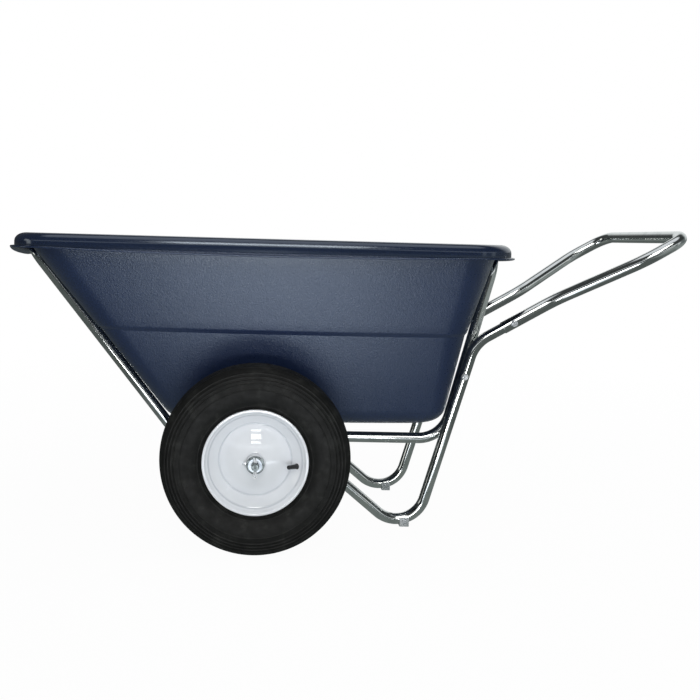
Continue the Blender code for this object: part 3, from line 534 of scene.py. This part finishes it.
def hoop_path(rail_end, line):
    """From one rail end, along the rail, up the stay, across under the rim and back down."""
    foot = (on_line(line, AXLE_HEIGHT), AXLE_HEIGHT)
    head = (on_line(line, HOOP_TOP), HOOP_TOP)
    left = [
        ((rail_end, -RAIL_OFFSET, AXLE_HEIGHT), 0),
        ((foot[0], -RAIL_OFFSET, foot[1]), RAIL_BEND),
        ((head[0], -RAIL_OFFSET, head[1]), HOOP_CORNER),
    ]
    return bent_path(left + [((x, -y, z), bend) for (x, y, z), bend in reversed(left)])


def leg_path():
    """The leg tube's centre line, from its flattened end to just inside the handle's mouth."""
    stay_line = (LEG_FRONT_BOLT, AXLE_HEIGHT, -1 / tan(STAY_ANGLE))
    ground = crossing(stay_line, LEG_LINE)
    elbow = crossing(LEG_LINE, (*HANDLE_POINT, 1 / HANDLE_SLOPE))
    corners = []
    rows = range(LEG_BLEND_ROWS + 1)
    blend = [FLAT_LENGTH + FLAT_BLEND * k / LEG_BLEND_ROWS for k in rows]
    for distance in LEG_END_ROWS + blend:
        x = LEG_FRONT_BOLT + (distance - LEG_END) * cos(STAY_ANGLE)
        z = AXLE_HEIGHT - (distance - LEG_END) * sin(STAY_ANGLE)
        corners.append(((x, 0, z), 0))
    corners.append(((ground[0], 0, ground[1]), GROUND_BEND))
    corners.append(((elbow[0], 0, elbow[1]), STEM_BEND))
    x = HANDLE_START + LEG_IN_HANDLE * cos(atan(HANDLE_SLOPE))
    corners.append(((x, 0, handle_height(x)), 0))
    return bent_path(corners)


def leg_ring(place, normal, travelled, side):
    """A leg's section: round, or pressed flat against the rail near its front end."""
    blend = smoothstep((travelled - FLAT_LENGTH) / FLAT_BLEND)
    tall = FLAT_HALF_WIDTH + (TUBE_RADIUS - FLAT_HALF_WIDTH) * blend
    across = FLAT_HALF_THICKNESS + (TUBE_RADIUS - FLAT_HALF_THICKNESS) * blend
    if travelled < LEG_END_CORNER:
        left = LEG_END_CORNER - travelled
        tall -= LEG_END_CORNER - sqrt(LEG_END_CORNER ** 2 - left ** 2)
    offset = LEG_OFFSET - TUBE_RADIUS + max(across, TUBE_RADIUS * (blend == 1))
    power = 2 / (2 + LEG_SQUARENESS * (1 - blend))
    ring = []
    for k in range(TUBE_SIDES):
        angle = 2 * pi * k / TUBE_SIDES
        c, s = cos(angle), sin(angle)
        up = tall * abs(c) ** power * (1 if c >= 0 else -1)
        out = across * abs(s) ** power * (1 if s >= 0 else -1)
        point = place + normal * up
        ring.append((point.x, side * offset + out, point.z))
    return ring


def leg_mesh(name, side):
    path = leg_path()
    travelled = 0.0
    rings = []
    for k, place in enumerate(path):
        if k:
            travelled += (place - path[k - 1]).length
        heading = (path[min(k + 1, len(path) - 1)] - path[max(k - 1, 0)]).normalized()
        normal = Vector((-heading.z, 0, heading.x))
        rings.append(leg_ring(place, normal, travelled, side))
    return grid_mesh(name, rings, cap=True)


def handle_mesh():
    start = ((HANDLE_START, -LEG_OFFSET, handle_height(HANDLE_START)), 0)
    left = [start] + [((x, -y, handle_height(x)), bend) for x, y, bend in HANDLE_CORNERS]
    right = [((x, -y, z), bend) for (x, y, z), bend in reversed(left)]
    return tube_mesh("handle_bar", bent_path(left + right), HANDLE_RADIUS, HANDLE_WALL)


# --- fasteners and feet ---

def hex_ring(radius, height, hexagon, count=48):
    """A level ring between a circle (hexagon 0) and a hexagon whose flats are at radius."""
    ring = []
    for k in range(count):
        angle = 2 * pi * k / count
        corner = radius / cos((angle % (pi / 3)) - pi / 6)
        reach = radius + (min(corner, radius * HEX_CORNER) - radius) * hexagon
        ring.append((reach * cos(angle), reach * sin(angle), height))
    return ring


def bolt_mesh(name, grip, size, radius):
    """A flanged hex bolt whose flange sits at height 0, with its shank going down."""
    half, flange, head = HEX_HALF * size, FLANGE_HEIGHT * size, HEAD_HEIGHT * size
    reach, tip = FLANGE_RADIUS * size, -(grip + THREAD_PAST * size)
    levels = (
        (radius * 0.8, tip, 0), (radius, tip + 0.0008, 0), (radius, 0, 0), (reach * 0.97, 0, 0),
        (reach, 0.0005 * size, 0), (reach * 0.98, 0.0011 * size, 0), (half * 1.08, flange, 0.4),
        (half, flange + 0.0004 * size, 1), (half, head - 0.0011 * size, 1),
        (half * 0.985, head - 0.0004 * size, 0.55), (half * 0.90, head, 0),
        (half * 0.62, head - 0.0001 * size, 0), (half * 0.52, head - 0.0010 * size, 0),
        (half * 0.10, head - 0.0012 * size, 0),
    )
    return grid_mesh(name, [hex_ring(*level) for level in levels], cap=True)


def nut_mesh(name, size, radius):
    """A hex nut that lies below height 0, with a chamfered outside and a bore."""
    half, height = HEX_HALF * size, NUT_HEIGHT * size
    ease, chamfer = 0.0004 * size, 0.0011 * size
    levels = (
        (radius * 1.02, 0, 0), (half * 0.90, 0, 0), (half * 0.985, -ease, 0.55),
        (half, -chamfer, 1), (half, -height + chamfer, 1), (half * 0.985, -height + ease, 0.55),
        (half * 0.90, -height, 0), (radius * 1.02, -height, 0),
    )
    return grid_mesh(name, [hex_ring(*level) for level in levels], loop=True)


def add_bolt(name, x, z, outer, inner, side, material, radius=BOLT_RADIUS, size=1.0):
    """A bolt from outside and its nut inside, through what lies between outer and inner."""
    turn = Matrix.Rotation(-side * pi / 2, 4, "X")
    out = Matrix.Translation((x, side * (outer + GAP), z)) @ turn
    back = Matrix.Translation((x, side * (inner - GAP), z)) @ turn
    add_piece(bolt_mesh(name + "_bolt_fine", outer - inner, size, radius),
              "frame", [name + "_bolt"], material, out, 30)
    add_piece(nut_mesh(name + "_nut_fine", size, radius), "frame",
              [name + "_nut"], material, back, 30)


def foot_mesh(name):
    """A U-shaped shoe of bent sheet round the ground bend, with a level sole."""
    half = TUBE_RADIUS + FOOT_CLEARANCE + FOOT_PLATE
    inside = half - FOOT_PLATE
    outline = rounded_outline((
        (-half, FOOT_HEIGHT, 0), (-half, 0, FOOT_OUTER_BEND), (half, 0, FOOT_OUTER_BEND),
        (half, FOOT_HEIGHT, FOOT_LIP), (inside, FOOT_HEIGHT, FOOT_LIP),
        (inside, FOOT_FLOOR, FOOT_INNER_BEND), (-inside, FOOT_FLOOR, FOOT_INNER_BEND),
        (-inside, FOOT_HEIGHT, FOOT_LIP), (-half + FOOT_LIP, FOOT_HEIGHT, 0),
    ))
    rings = []
    for x, inset in ((-0.5, FOOT_EDGE), (-0.5, 0), (0.5, 0), (0.5, FOOT_EDGE)):
        shift = FOOT_EDGE if inset == 0 else 0
        place = x * FOOT_LENGTH - (shift if x > 0 else -shift)
        shrink = 1 - inset / half
        ring = []
        for y, z in outline:
            ring.append((place, y * shrink, z + (0.5 * FOOT_HEIGHT - z) * (1 - shrink)))
        rings.append(ring)
    return grid_mesh(name, rings, cap=True)


def build_frame(zinc, pale):
    for node, rail_end, line in (("front_hoop", RAIL_JOINT - GAP, FRONT_STAY),
                                 ("rear_hoop", RAIL_JOINT + GAP, REAR_POST)):
        tube = tube_mesh(node + "_tube", hoop_path(rail_end, line), TUBE_RADIUS, TUBE_WALL)
        add_piece(tube, "frame", [node], zinc)
    add_piece(handle_mesh(), "frame", ["handle_loop"], zinc)
    rail_inside = RAIL_OFFSET - TUBE_RADIUS
    flat_outside = LEG_OFFSET - TUBE_RADIUS + 2 * FLAT_HALF_THICKNESS
    foot_half = TUBE_RADIUS + FOOT_CLEARANCE + FOOT_PLATE
    for word, side in SIDES.items():
        add_piece(leg_mesh(word + "_leg", side), "frame", [word + "_leg_tube"],
                  zinc)
        add_bolt(word + "_leg_front", LEG_FRONT_BOLT, AXLE_HEIGHT, flat_outside, rail_inside,
                 side, pale)
        add_bolt(word + "_leg_rear", *REAR_BOLT, LEG_OFFSET + TUBE_RADIUS, rail_inside, side, pale)
        add_bolt(word + "_handle", HANDLE_BOLT, handle_height(HANDLE_BOLT),
                 LEG_OFFSET + HANDLE_RADIUS, LEG_OFFSET - HANDLE_RADIUS, side, pale)
        add_bolt(word + "_foot", FOOT_X, FOOT_BOLT_HEIGHT, LEG_OFFSET + foot_half,
                 LEG_OFFSET - foot_half, side, pale, FOOT_BOLT_RADIUS, FOOT_BOLT_SIZE)
        add_piece(foot_mesh(word + "_foot"), "frame", [word + "_foot_shoe"],
                  pale, Matrix.Translation((FOOT_X, side * LEG_OFFSET, 0)), 30)


# --- axle ---

def chamfered(inner, outer, low, high, edge):
    """A washer's or sleeve's outline with its outer edges eased."""
    return [(inner, low), (outer - edge, low), (outer, low + edge), (outer, high - edge),
            (outer - edge, high), (inner, high)]


def pin_path():
    """A split pin's centre line: up one leg, round the eye below and up the other leg."""
    half = PIN_RADIUS * PIN_CLEARANCE
    shares = [k / PIN_ROWS for k in range(PIN_ROWS + 1)]
    points = []
    for share in shares:
        splay = half + PIN_SPLAY * (1 - share) ** 2
        points.append((-splay, 0, AXLE_RADIUS + PIN_RISE * (1 - 0.8 * share)))
    for k in range(PIN_EYE_ROWS + 1):
        angle = pi / 2 + PIN_OPENING + 2 * (pi - PIN_OPENING) * k / PIN_EYE_ROWS
        points.append((PIN_EYE * cos(angle), 0, PIN_EYE * sin(angle) - PIN_DROP))
    for share in shares:
        splay = half + PIN_SPLAY * share ** 2
        points.append((splay, 0, AXLE_RADIUS + PIN_RISE * (0.2 + 0.7 * share)))
    return [Vector(point) for point in points]


def build_axle(steel, zinc, pale, worn):
    outline = [*AXLE_CENTRE, (AXLE_RADIUS - AXLE_CHAMFER, AXLE_END),
               (AXLE_RADIUS, AXLE_END - AXLE_CHAMFER)]
    outline += [(radius, -height) for radius, height in reversed(outline)]
    place = Matrix.Translation((0, 0, AXLE_HEIGHT)) @ Matrix.Rotation(pi / 2, 4, "X")
    add_piece(turned("axle_bar", outline, 48), "frame", ["axle"],
              steel, place, 30)
    bore = AXLE_RADIUS + GAP
    end = HUB_HALF + BEARING_FLANGE + GAP
    rail_face = RAIL_OFFSET + TUBE_RADIUS + GAP - WHEEL_OFFSET
    for word, side in SIDES.items():
        place = Matrix.Translation((0, side * WHEEL_OFFSET, AXLE_HEIGHT))
        place = place @ Matrix.Rotation(-side * pi / 2, 4, "X")
        for part, low in (("outer", end), ("inner", -end - WASHER_THICKNESS)):
            outline = chamfered(bore, WASHER_RADIUS, low, low + WASHER_THICKNESS, WASHER_EDGE)
            name = word + "_" + part + "_washer"
            add_piece(turned(name + "_fine", outline, 64), "frame", [name],
                      worn, place, 30)
        outline = chamfered(bore, SLEEVE_RADIUS, rail_face, -end - WASHER_THICKNESS - GAP,
                            SLEEVE_EDGE)
        add_piece(turned(word + "_sleeve", outline, 48), "frame",
                  [word + "_axle_sleeve"], zinc, place, 30)
        pin = tube_mesh(word + "_pin", pin_path(), PIN_RADIUS, 0.001, False, False, 16)
        spot = Matrix.Translation((0, side * (WHEEL_OFFSET + PIN_OFFSET), AXLE_HEIGHT))
        add_piece(pin, "frame", [word + "_split_pin"], pale,
                  spot, 50)


# --- wheels ---

def spline(points, steps):
    """Points on a smooth curve through (u, v) points."""
    pts = [np.array(p, float) for p in points]
    pts = [2 * pts[0] - pts[1]] + pts + [2 * pts[-1] - pts[-2]]
    out = []
    for a, b, c, d in zip(pts, pts[1:], pts[2:], pts[3:]):
        for k in range(steps):
            t = k / steps
            out.append(0.5 * (2 * b + (c - a) * t + (2 * a - 5 * b + 4 * c - d) * t ** 2
                              + (3 * b - a - 3 * c + d) * t ** 3))
    out.append(pts[-2])
    return out


def rib(radius, centre, width, height):
    """How far a sidewall rib stands proud at a radius."""
    share = abs(radius - centre) / (width / 2)
    return height * (1 - smoothstep((share - RIB_FLAT) / (1 - RIB_FLAT))) if share < 1 else 0.0


def tyre_outline():
    """The tyre's closed section: ribbed sidewalls, a grooved tread and its two beads."""
    side = spline(TYRE_SIDE, 24)
    half = []
    for k, point in enumerate(side):
        before, after = side[max(k - 1, 0)], side[min(k + 1, len(side) - 1)]
        run = (after - before) / np.linalg.norm(after - before)
        out = np.array([-run[1], run[0]])
        bump = sum(rib(point[0], *shape) for shape in SIDEWALL_RIBS)
        half.append(tuple(point + out * bump))
    for k in range(1, TREAD_ROWS + 1):
        s = TREAD_HALF * (1 - k / TREAD_ROWS)
        r = AXLE_HEIGHT - TREAD_FALL * (s / TREAD_HALF) ** 2
        for groove in TREAD_GROOVES:
            past = (abs(s - groove) - GROOVE_HALF) / GROOVE_EDGE
            r -= GROOVE_DEPTH * max(0.0, 1 - smoothstep(past))
        half.append((r, s))
    return half + [(r, -s) for r, s in reversed(half[:-1])]


def rim_outline():
    """The section of one rim half, as a closed outline of 2 mm sheet."""
    line = rounded_outline(RIM_LINE, radians(6))
    for k in range(1, DOME_ROWS + 1):
        radius = DOME_START + (DOME_STOP - DOME_START) * k / DOME_ROWS
        line.append((radius, DOME_RADIUS * cos(asin(radius / DOME_RADIUS)) - DOME_DEPTH))
    line += RIM_COLLAR
    behind = []
    for k, (r, s) in enumerate(line):
        before, after = line[max(k - 1, 0)], line[min(k + 1, len(line) - 1)]
        run = (after[0] - before[0], after[1] - before[1])
        length = hypot(*run)
        behind.append((r - run[1] / length * RIM_THICKNESS, s + run[0] / length * RIM_THICKNESS))
    return line + list(reversed(behind))


def valve_place(wheel_place):
    seat = (VALVE_SEAT[0] * cos(VALVE_TURN), VALVE_SEAT[0] * sin(VALVE_TURN), VALVE_SEAT[1])
    turn = Matrix.Rotation(VALVE_TURN, 4, "Z") @ Matrix.Rotation(-pi / 4, 4, "Y")
    return wheel_place @ Matrix.Translation(seat) @ turn


def build_valve(word, place, rubber):
    spot = valve_place(place)
    add_piece(turned(word + "_valve", VALVE_STEM, 40), word + "_wheel",
              [word + "_valve_stem"], rubber, spot, 50)
    rings = []
    for height, radius, knurl in CAP_LEVELS:
        ring = []
        for k in range(48):
            reach = radius - (CAP_KNURL * knurl if k % 4 < 2 else 0)
            angle = 2 * pi * k / 48
            ring.append((reach * cos(angle), reach * sin(angle), CAP_BASE + height))
        rings.append(ring)
    add_piece(grid_mesh(word + "_cap", rings, cap=True), word + "_wheel",
              [word + "_valve_cap"], rubber, spot, 30)


def build_hub(word, place, white, steel, pale):
    body = word + "_wheel"
    tube = chamfered(HUB_BORE, HUB_RADIUS, -HUB_HALF, HUB_HALF, 0.0004)
    add_piece(turned(word + "_hub", tube, 72), body, [word + "_hub_tube"],
              white, place, 30)
    high = HUB_HALF + BEARING_FLANGE
    low = HUB_HALF - BEARING_LENGTH
    bearing = [(BEARING_BORE, low), (HUB_BORE - GAP, low), (HUB_BORE - GAP, HUB_HALF + GAP / 2),
               (HUB_RADIUS - 0.0003, HUB_HALF + GAP / 2),
               (HUB_RADIUS, HUB_HALF + 0.0005), (HUB_RADIUS, high - 0.0008),
               (HUB_RADIUS - 0.0008, high)]
    bearing += [(radius, high - depth) for radius, depth in BEARING_FACE]
    for part, sign in (("outer", 1), ("inner", -1)):
        outline = [(r, sign * s) for r, s in bearing]
        name = word + "_" + part + "_bearing"
        add_piece(turned(name + "_fine", outline, 64), body, [name],
                  steel, place, 30)
    rings = [hex_ring(radius, HUB_RADIUS + height, hexagon, 36)
             for height, radius, hexagon in GREASE_LEVELS]
    spot = place @ Matrix.Translation((0, 0, GREASE_OUT)) @ Matrix.Rotation(-pi / 2, 4, "Y")
    add_piece(grid_mesh(word + "_grease_nipple", rings, cap=True), body,
              [word + "_grease_fitting"], pale, spot, 30)


def build_wheel(word, looks):
    side = SIDES[word]
    place = Matrix.Translation((0, side * WHEEL_OFFSET, AXLE_HEIGHT))
    place = place @ Matrix.Rotation(-side * pi / 2, 4, "X")
    body = word + "_wheel"
    add_piece(turned(word + "_tyre_ribbed", tyre_outline(), 160), body,
              [word + "_tyre", word + "_air_tube"], looks["rubber"], place, 60)
    for part, node, sign in (("_rim_out", "_rim_outer", 1), ("_rim_in", "_rim_inner", -1)):
        outline = [(r, sign * s) for r, s in rim_outline()]
        add_piece(turned(word + part, outline, 160), body, [word + node],
                  looks["white"], place, 50)
    build_valve(word, place, looks["valve"])
    build_hub(word, place, looks["white"], looks["steel"], looks["pale"])


# --- materials: all procedural, with linear colours ---

class Wires:
    """Short ways to add and wire shader nodes. A value is a number, a colour or an output."""

    def __init__(self, tree):
        self.tree = tree

    def put(self, socket, value):
        if hasattr(value, "is_output"):
            self.tree.links.new(value, socket)
        else:
            socket.default_value = value

    def node(self, kind, **inputs):
        made = self.tree.nodes.new(kind)
        for socket, value in inputs.items():
            self.put(made.inputs[socket.replace("_", " ")], value)
        return made

    def remap(self, value, low, high, out_low, out_high):
        node = self.node("ShaderNodeMapRange", Value=value, From_Min=low, From_Max=high,
                         To_Min=out_low, To_Max=out_high)
        return node.outputs["Result"]

    def math(self, operation, first, second=0.0):
        node = self.node("ShaderNodeMath")
        node.operation = operation
        self.put(node.inputs[0], first)
        self.put(node.inputs[1], second)
        return node.outputs[0]

    def mix(self, share, first, second):
        node = self.node("ShaderNodeMix")
        node.data_type = "RGBA"
        self.put(node.inputs[0], share)
        for socket, value in ((node.inputs[6], first), (node.inputs[7], second)):
            self.put(socket, value if hasattr(value, "is_output") else (*value, 1))
        return node.outputs[2]

    def choose(self, share, first, second):
        """The first shader where share is 0 and the second where it is 1."""
        node = self.node("ShaderNodeMixShader")
        for socket, value in zip(node.inputs, (share, first.outputs[0], second.outputs[0])):
            self.put(socket, value)
        return node

    def for_camera(self, lit, shown):
        """What lights and mirrors the object, and what the camera sees in its place."""
        ray = self.node("ShaderNodeLightPath").outputs["Is Camera Ray"]
        return self.choose(ray, lit, shown).outputs[0]


class Look(Wires):
    """A Principled material and its procedural detail, all of it in the piece's own space."""

    def __init__(self, name, **sockets):
        self.material = bpy.data.materials.new(name)
        self.material.use_nodes = True
        super().__init__(self.material.node_tree)
        self.shader = self.tree.nodes["Principled BSDF"]
        for socket, value in sockets.items():
            self.shader.inputs[socket.replace("_", " ")].default_value = value
        self.place = self.node("ShaderNodeTexCoord").outputs["Object"]

    def noise(self, scale, detail=3.0, rough=0.5):
        node = self.node("ShaderNodeTexNoise", Scale=scale, Detail=detail, Roughness=rough,
                         Vector=self.place)
        return node.outputs["Fac"]

    def blotches(self, scale, detail, low, high):
        """Soft blotches between two values."""
        return self.remap(self.noise(scale, detail), 0.3, 0.7, low, high)

    def ramp(self, value, stops):
        """Map a value from 0 to 1 through (position, colour) stops."""
        node = self.node("ShaderNodeValToRGB", Fac=value)
        band = node.color_ramp
        while len(band.elements) < len(stops):
            band.elements.new(0.5)
        for element, (position, colour) in zip(band.elements, stops):
            element.position = position
            element.color = (*colour, 1)
        return node.outputs["Color"]

    def axis(self, which):
        return self.node("ShaderNodeSeparateXYZ", Vector=self.place).outputs[which]

    def away(self, which, centre):
        """Distance along one axis from a centre."""
        return self.math("ABSOLUTE", self.math("ADD", self.axis(which), -centre))

    def bump(self, height, distance, strength=1.0):
        node = self.node("ShaderNodeBump", Height=height, Distance=distance, Strength=strength)
        self.put(self.shader.inputs["Normal"], node.outputs["Normal"])

    def set(self, socket, value):
        self.put(self.shader.inputs[socket], value)


def tub_look():
    """Satin moulded polyethylene: pebbled on the walls, smoother and deeper on the rim."""
    look = Look("tub_navy_moulded", Specular_IOR_Level=0.95, Specular_Tint=(0.80, 0.90, 1.0, 1))
    rim = look.remap(look.axis("Z"), 0.6370, 0.6410, 0, 1)
    blotch = look.blotches(8, 4, 0, 1)
    wall = look.mix(blotch, (0.0085, 0.017, 0.054), (0.0115, 0.021, 0.061))
    fleck = look.remap(look.noise(520, 3, 0.6), 0.50, 0.75, 0, 0.5)
    wall = look.mix(fleck, wall, (0.022, 0.034, 0.066))
    smooth = look.mix(blotch, (0.007, 0.013, 0.034), (0.010, 0.017, 0.041))
    look.set("Base Color", look.mix(rim, wall, smooth))
    rough = look.blotches(300, 2, 0.27, 0.33)
    look.set("Roughness", look.math("ADD", look.math("MULTIPLY", rim, -0.17), rough))
    coarse = look.math("MULTIPLY", look.noise(240, 3), 1.1)
    grain = look.math("ADD", look.noise(700, 2, 0.6), coarse)
    look.bump(look.math("MULTIPLY", grain, look.remap(rim, 0, 1, 1.0, 0.02)), 0.00045, 0.9)
    return look.material


def zinc_look(name, low, high, rough, grain=0.000018, metal=1.0):
    """Zinc plating: a mirror with faint warm and cool stains and fine draw marks."""
    look = Look(name, Metallic=metal)
    warm = (high[0], high[1] * 0.985, high[2] * 0.93)
    stain = look.noise(26, 5, 0.55)
    look.set("Base Color", look.ramp(stain, ((0.30, low), (0.52, high), (0.72, warm))))
    look.set("Roughness", look.blotches(70, 4, rough * 0.75, rough * 1.35))
    look.bump(look.noise(240, 4, 0.6), grain, 0.5)
    return look.material


def white_look():
    """Gloss white enamel with a slight orange peel, and painted shade that greys the rim's pressed
    creases.
    """
    look = Look("rim_enamel", Roughness=0.035, Specular_IOR_Level=0.75)
    shade = look.blotches(18, 4, 0, 1)
    enamel_and_crease_shade = look.mix(shade, (0.70, 0.72, 0.755), (0.74, 0.76, 0.795))
    squares = [look.math("POWER", look.math("ADD", look.axis(which), -centre), 2)
               for which, centre in (("X", AXLE_X), ("Z", AXLE_HEIGHT))]
    radius = look.math("SQRT", look.math("ADD", *squares))
    # Painted shade: a soft grey ring over each crease stands in for the shadow the crease holds.
    for crease in CREASES:
        off = look.math("ABSOLUTE", look.math("ADD", radius, -crease))
        enamel_and_crease_shade = look.mix(look.remap(off, 0.0006, 0.0028, 0.50, 0), enamel_and_crease_shade, (0.42, 0.45, 0.50))
    look.set("Base Color", enamel_and_crease_shade)
    look.bump(look.noise(200, 2, 0.5), 0.00002, 0.25)
    return look.material


def tyre_look():
    """Matt black rubber with mould bloom and faint scuffs."""
    look = Look("tyre_rubber_matt", Specular_IOR_Level=0.18)
    bloom = look.noise(34, 6, 0.65)
    base = look.ramp(bloom, ((0.32, (0.0035, 0.0037, 0.0036)), (0.55, (0.0075, 0.0077, 0.0074)),
                             (0.72, (0.0190, 0.0195, 0.0182))))
    look.set("Base Color", base)
    look.set("Roughness", look.blotches(60, 4, 0.46, 0.68))
    grain = look.math("ADD", look.noise(1500, 2), look.math("MULTIPLY", look.noise(260, 4), 0.8))
    look.bump(grain, 0.00016, 0.6)
    return look.material


def valve_look():
    """Moulded black rubber, smoother than the tyre's."""
    look = Look("valve_rubber_moulded", Specular_IOR_Level=0.5)
    shade = look.noise(300, 3)
    look.set("Base Color", look.mix(shade, (0.008, 0.008, 0.009), (0.016, 0.016, 0.017)))
    look.set("Roughness", look.blotches(500, 2, 0.38, 0.52))
    look.bump(look.noise(1200, 2), 0.00004, 0.5)
    return look.material


def steel_look():
    """Turned steel with grime: darker and rougher in blotches."""
    look = Look("turned_steel", Metallic=1.0)
    stain = look.noise(160, 5, 0.6)
    shades = ((0.32, (0.035, 0.042, 0.045)), (0.62, (0.26, 0.29, 0.29)))
    look.set("Base Color", look.ramp(stain, shades))
    look.set("Roughness", look.blotches(240, 4, 0.26, 0.46))
    look.bump(look.noise(520, 4, 0.6), 0.00010, 0.7)
    return look.material


# --- studio ---

def build_floor():
    """A pale floor. Reflections and bounce light see it glow with painted light, a bright patch
    and painted shade by the cart; the camera sees it nearly white.
    """
    mesh = bpy.data.meshes.new("studio_floor")
    corners = ((-1, -1), (1, -1), (1, 1), (-1, 1))
    mesh.from_pydata([(FLOOR_HALF * x, FLOOR_HALF * y, FLOOR_LEVEL) for x, y in corners], [],
                     [(0, 1, 2, 3)])
    floor = bpy.data.objects.new("studio_floor", mesh)
    bpy.context.scene.collection.objects.link(floor)
    look = Look("studio_floor_pale", Roughness=0.9)
    look.set("Base Color", (0.86, 0.86, 0.86, 1))
    far = look.node("ShaderNodeVectorMath", Vector=look.place)
    far.operation = "LENGTH"
    share = look.math("ADD", look.remap(far.outputs["Value"], *FLOOR_FADE), FLOOR_WHITE)
    shown = look.choose(share, look.shader, look.node("ShaderNodeEmission", Color=(1, 1, 1, 1)))
    # Painted light: the glowing patch in front, and painted shade on the floor near the cart and
    # to each side.
    near = look.remap(look.axis("Y"), *PATCH_NEAR, 0, 1)
    front = look.math("MULTIPLY", near, look.remap(look.axis("Y"), *PATCH_FAR, PATCH_FAR_SHARE, 1))
    middle = look.remap(look.away("X", PATCH_X), *PATCH_SIDE, 1, 0)
    margin = look.remap(look.away("X", MARGIN_X), *MARGIN_EDGES, 0, 1)
    lit = look.mix(margin, FLOOR_DIM, FLOOR_MARGIN)
    lit = look.mix(look.remap(look.axis("X"), *FAR_EDGES, 0, 1), lit, FLOOR_FAR)
    lit = look.mix(look.math("MULTIPLY", front, middle), lit, FLOOR_BRIGHT)
    surface = look.for_camera(look.node("ShaderNodeEmission", Color=lit), shown)
    look.put(look.tree.nodes["Material Output"].inputs["Surface"], surface)
    mesh.materials.append(look.material)


def build_world():
    """White to the camera. The object mirrors a dark room with the bands of light in ROOM."""
    world = bpy.data.worlds.new("studio")
    bpy.context.scene.world = world
    world.use_nodes = True
    world.node_tree.nodes.clear()
    wires = Wires(world.node_tree)
    heading = wires.node("ShaderNodeTexCoord").outputs["Generated"]
    parts = wires.node("ShaderNodeSeparateXYZ", Vector=heading).outputs
    sky = WALLS
    for *bands, colour in ROOM:
        share = 1.0
        for part, edges in zip(parts, bands):
            if edges:
                for ends, levels in ((edges[:2], (0, 1)), (edges[2:], (1, 0))):
                    share = wires.math("MULTIPLY", share, wires.remap(part, *ends, *levels))
        sky = wires.mix(share, sky, colour)
    lit = wires.node("ShaderNodeBackground", Color=sky)
    plain = wires.node("ShaderNodeBackground", Color=(1, 1, 1, 1))
    output = wires.node("ShaderNodeOutputWorld")
    wires.put(output.inputs["Surface"], wires.for_camera(lit, plain))


def build_lights():
    for name, place, target, size, power, glossy in LIGHTS:
        light = bpy.data.lights.new(name, "AREA")
        light.shape = "RECTANGLE"
        light.size, light.size_y = size
        light.energy = power
        holder = bpy.data.objects.new(name, light)
        bpy.context.scene.collection.objects.link(holder)
        holder.location = place
        aim = Vector(target) - Vector(place)
        holder.rotation_euler = aim.to_track_quat("-Z", "Y").to_euler()
        holder.visible_glossy = glossy
        holder.visible_camera = False


def build_camera():
    camera = bpy.data.cameras.new("camera")
    holder = bpy.data.objects.new("camera", camera)
    bpy.context.scene.collection.objects.link(holder)
    yaw, pitch, roll = (radians(angle) for angle in CAMERA_TURN)
    turn = Matrix.Rotation(-yaw, 4, "Z") @ Matrix.Rotation(pi / 2 - pitch, 4, "X")
    turn = turn @ Matrix.Rotation(roll, 4, "Z")
    spot = Vector(CAMERA_PLACE) + Vector((AXLE_X, 0, 0))
    holder.matrix_world = Matrix.Translation(spot) @ turn
    camera.sensor_width = SENSOR
    camera.lens = FOCAL_PIXELS / FRAME_PIXELS * SENSOR
    middle = FRAME_PIXELS / 2
    camera.shift_x = (middle - OPTICAL_CENTRE[0]) / FRAME_PIXELS
    camera.shift_y = (OPTICAL_CENTRE[1] - middle) / FRAME_PIXELS
    camera.clip_start, camera.clip_end = 0.05, 60
    bpy.context.scene.camera = holder


def build():
    zinc = zinc_look("tube_zinc_bright", (0.50, 0.53, 0.52), (0.66, 0.68, 0.68), 0.10)
    pale = zinc_look("fastener_zinc_pale", (0.52, 0.55, 0.58), (0.70, 0.72, 0.75), 0.28,
                     0.00008, 0.55)
    worn = zinc_look("washer_zinc_worn", (0.16, 0.18, 0.20), (0.42, 0.45, 0.48), 0.30, 0.00008)
    steel = steel_look()
    looks = {"rubber": tyre_look(), "white": white_look(), "valve": valve_look(), "steel": steel,
             "pale": pale}
    build_tub(tub_look())
    build_frame(zinc, pale)
    build_axle(steel, zinc, pale, worn)
    for word in SIDES:
        build_wheel(word, looks)
    build_floor()
    build_world()
    build_lights()
    build_camera()


build()
bpy.context.scene.view_settings.view_transform = "Standard"
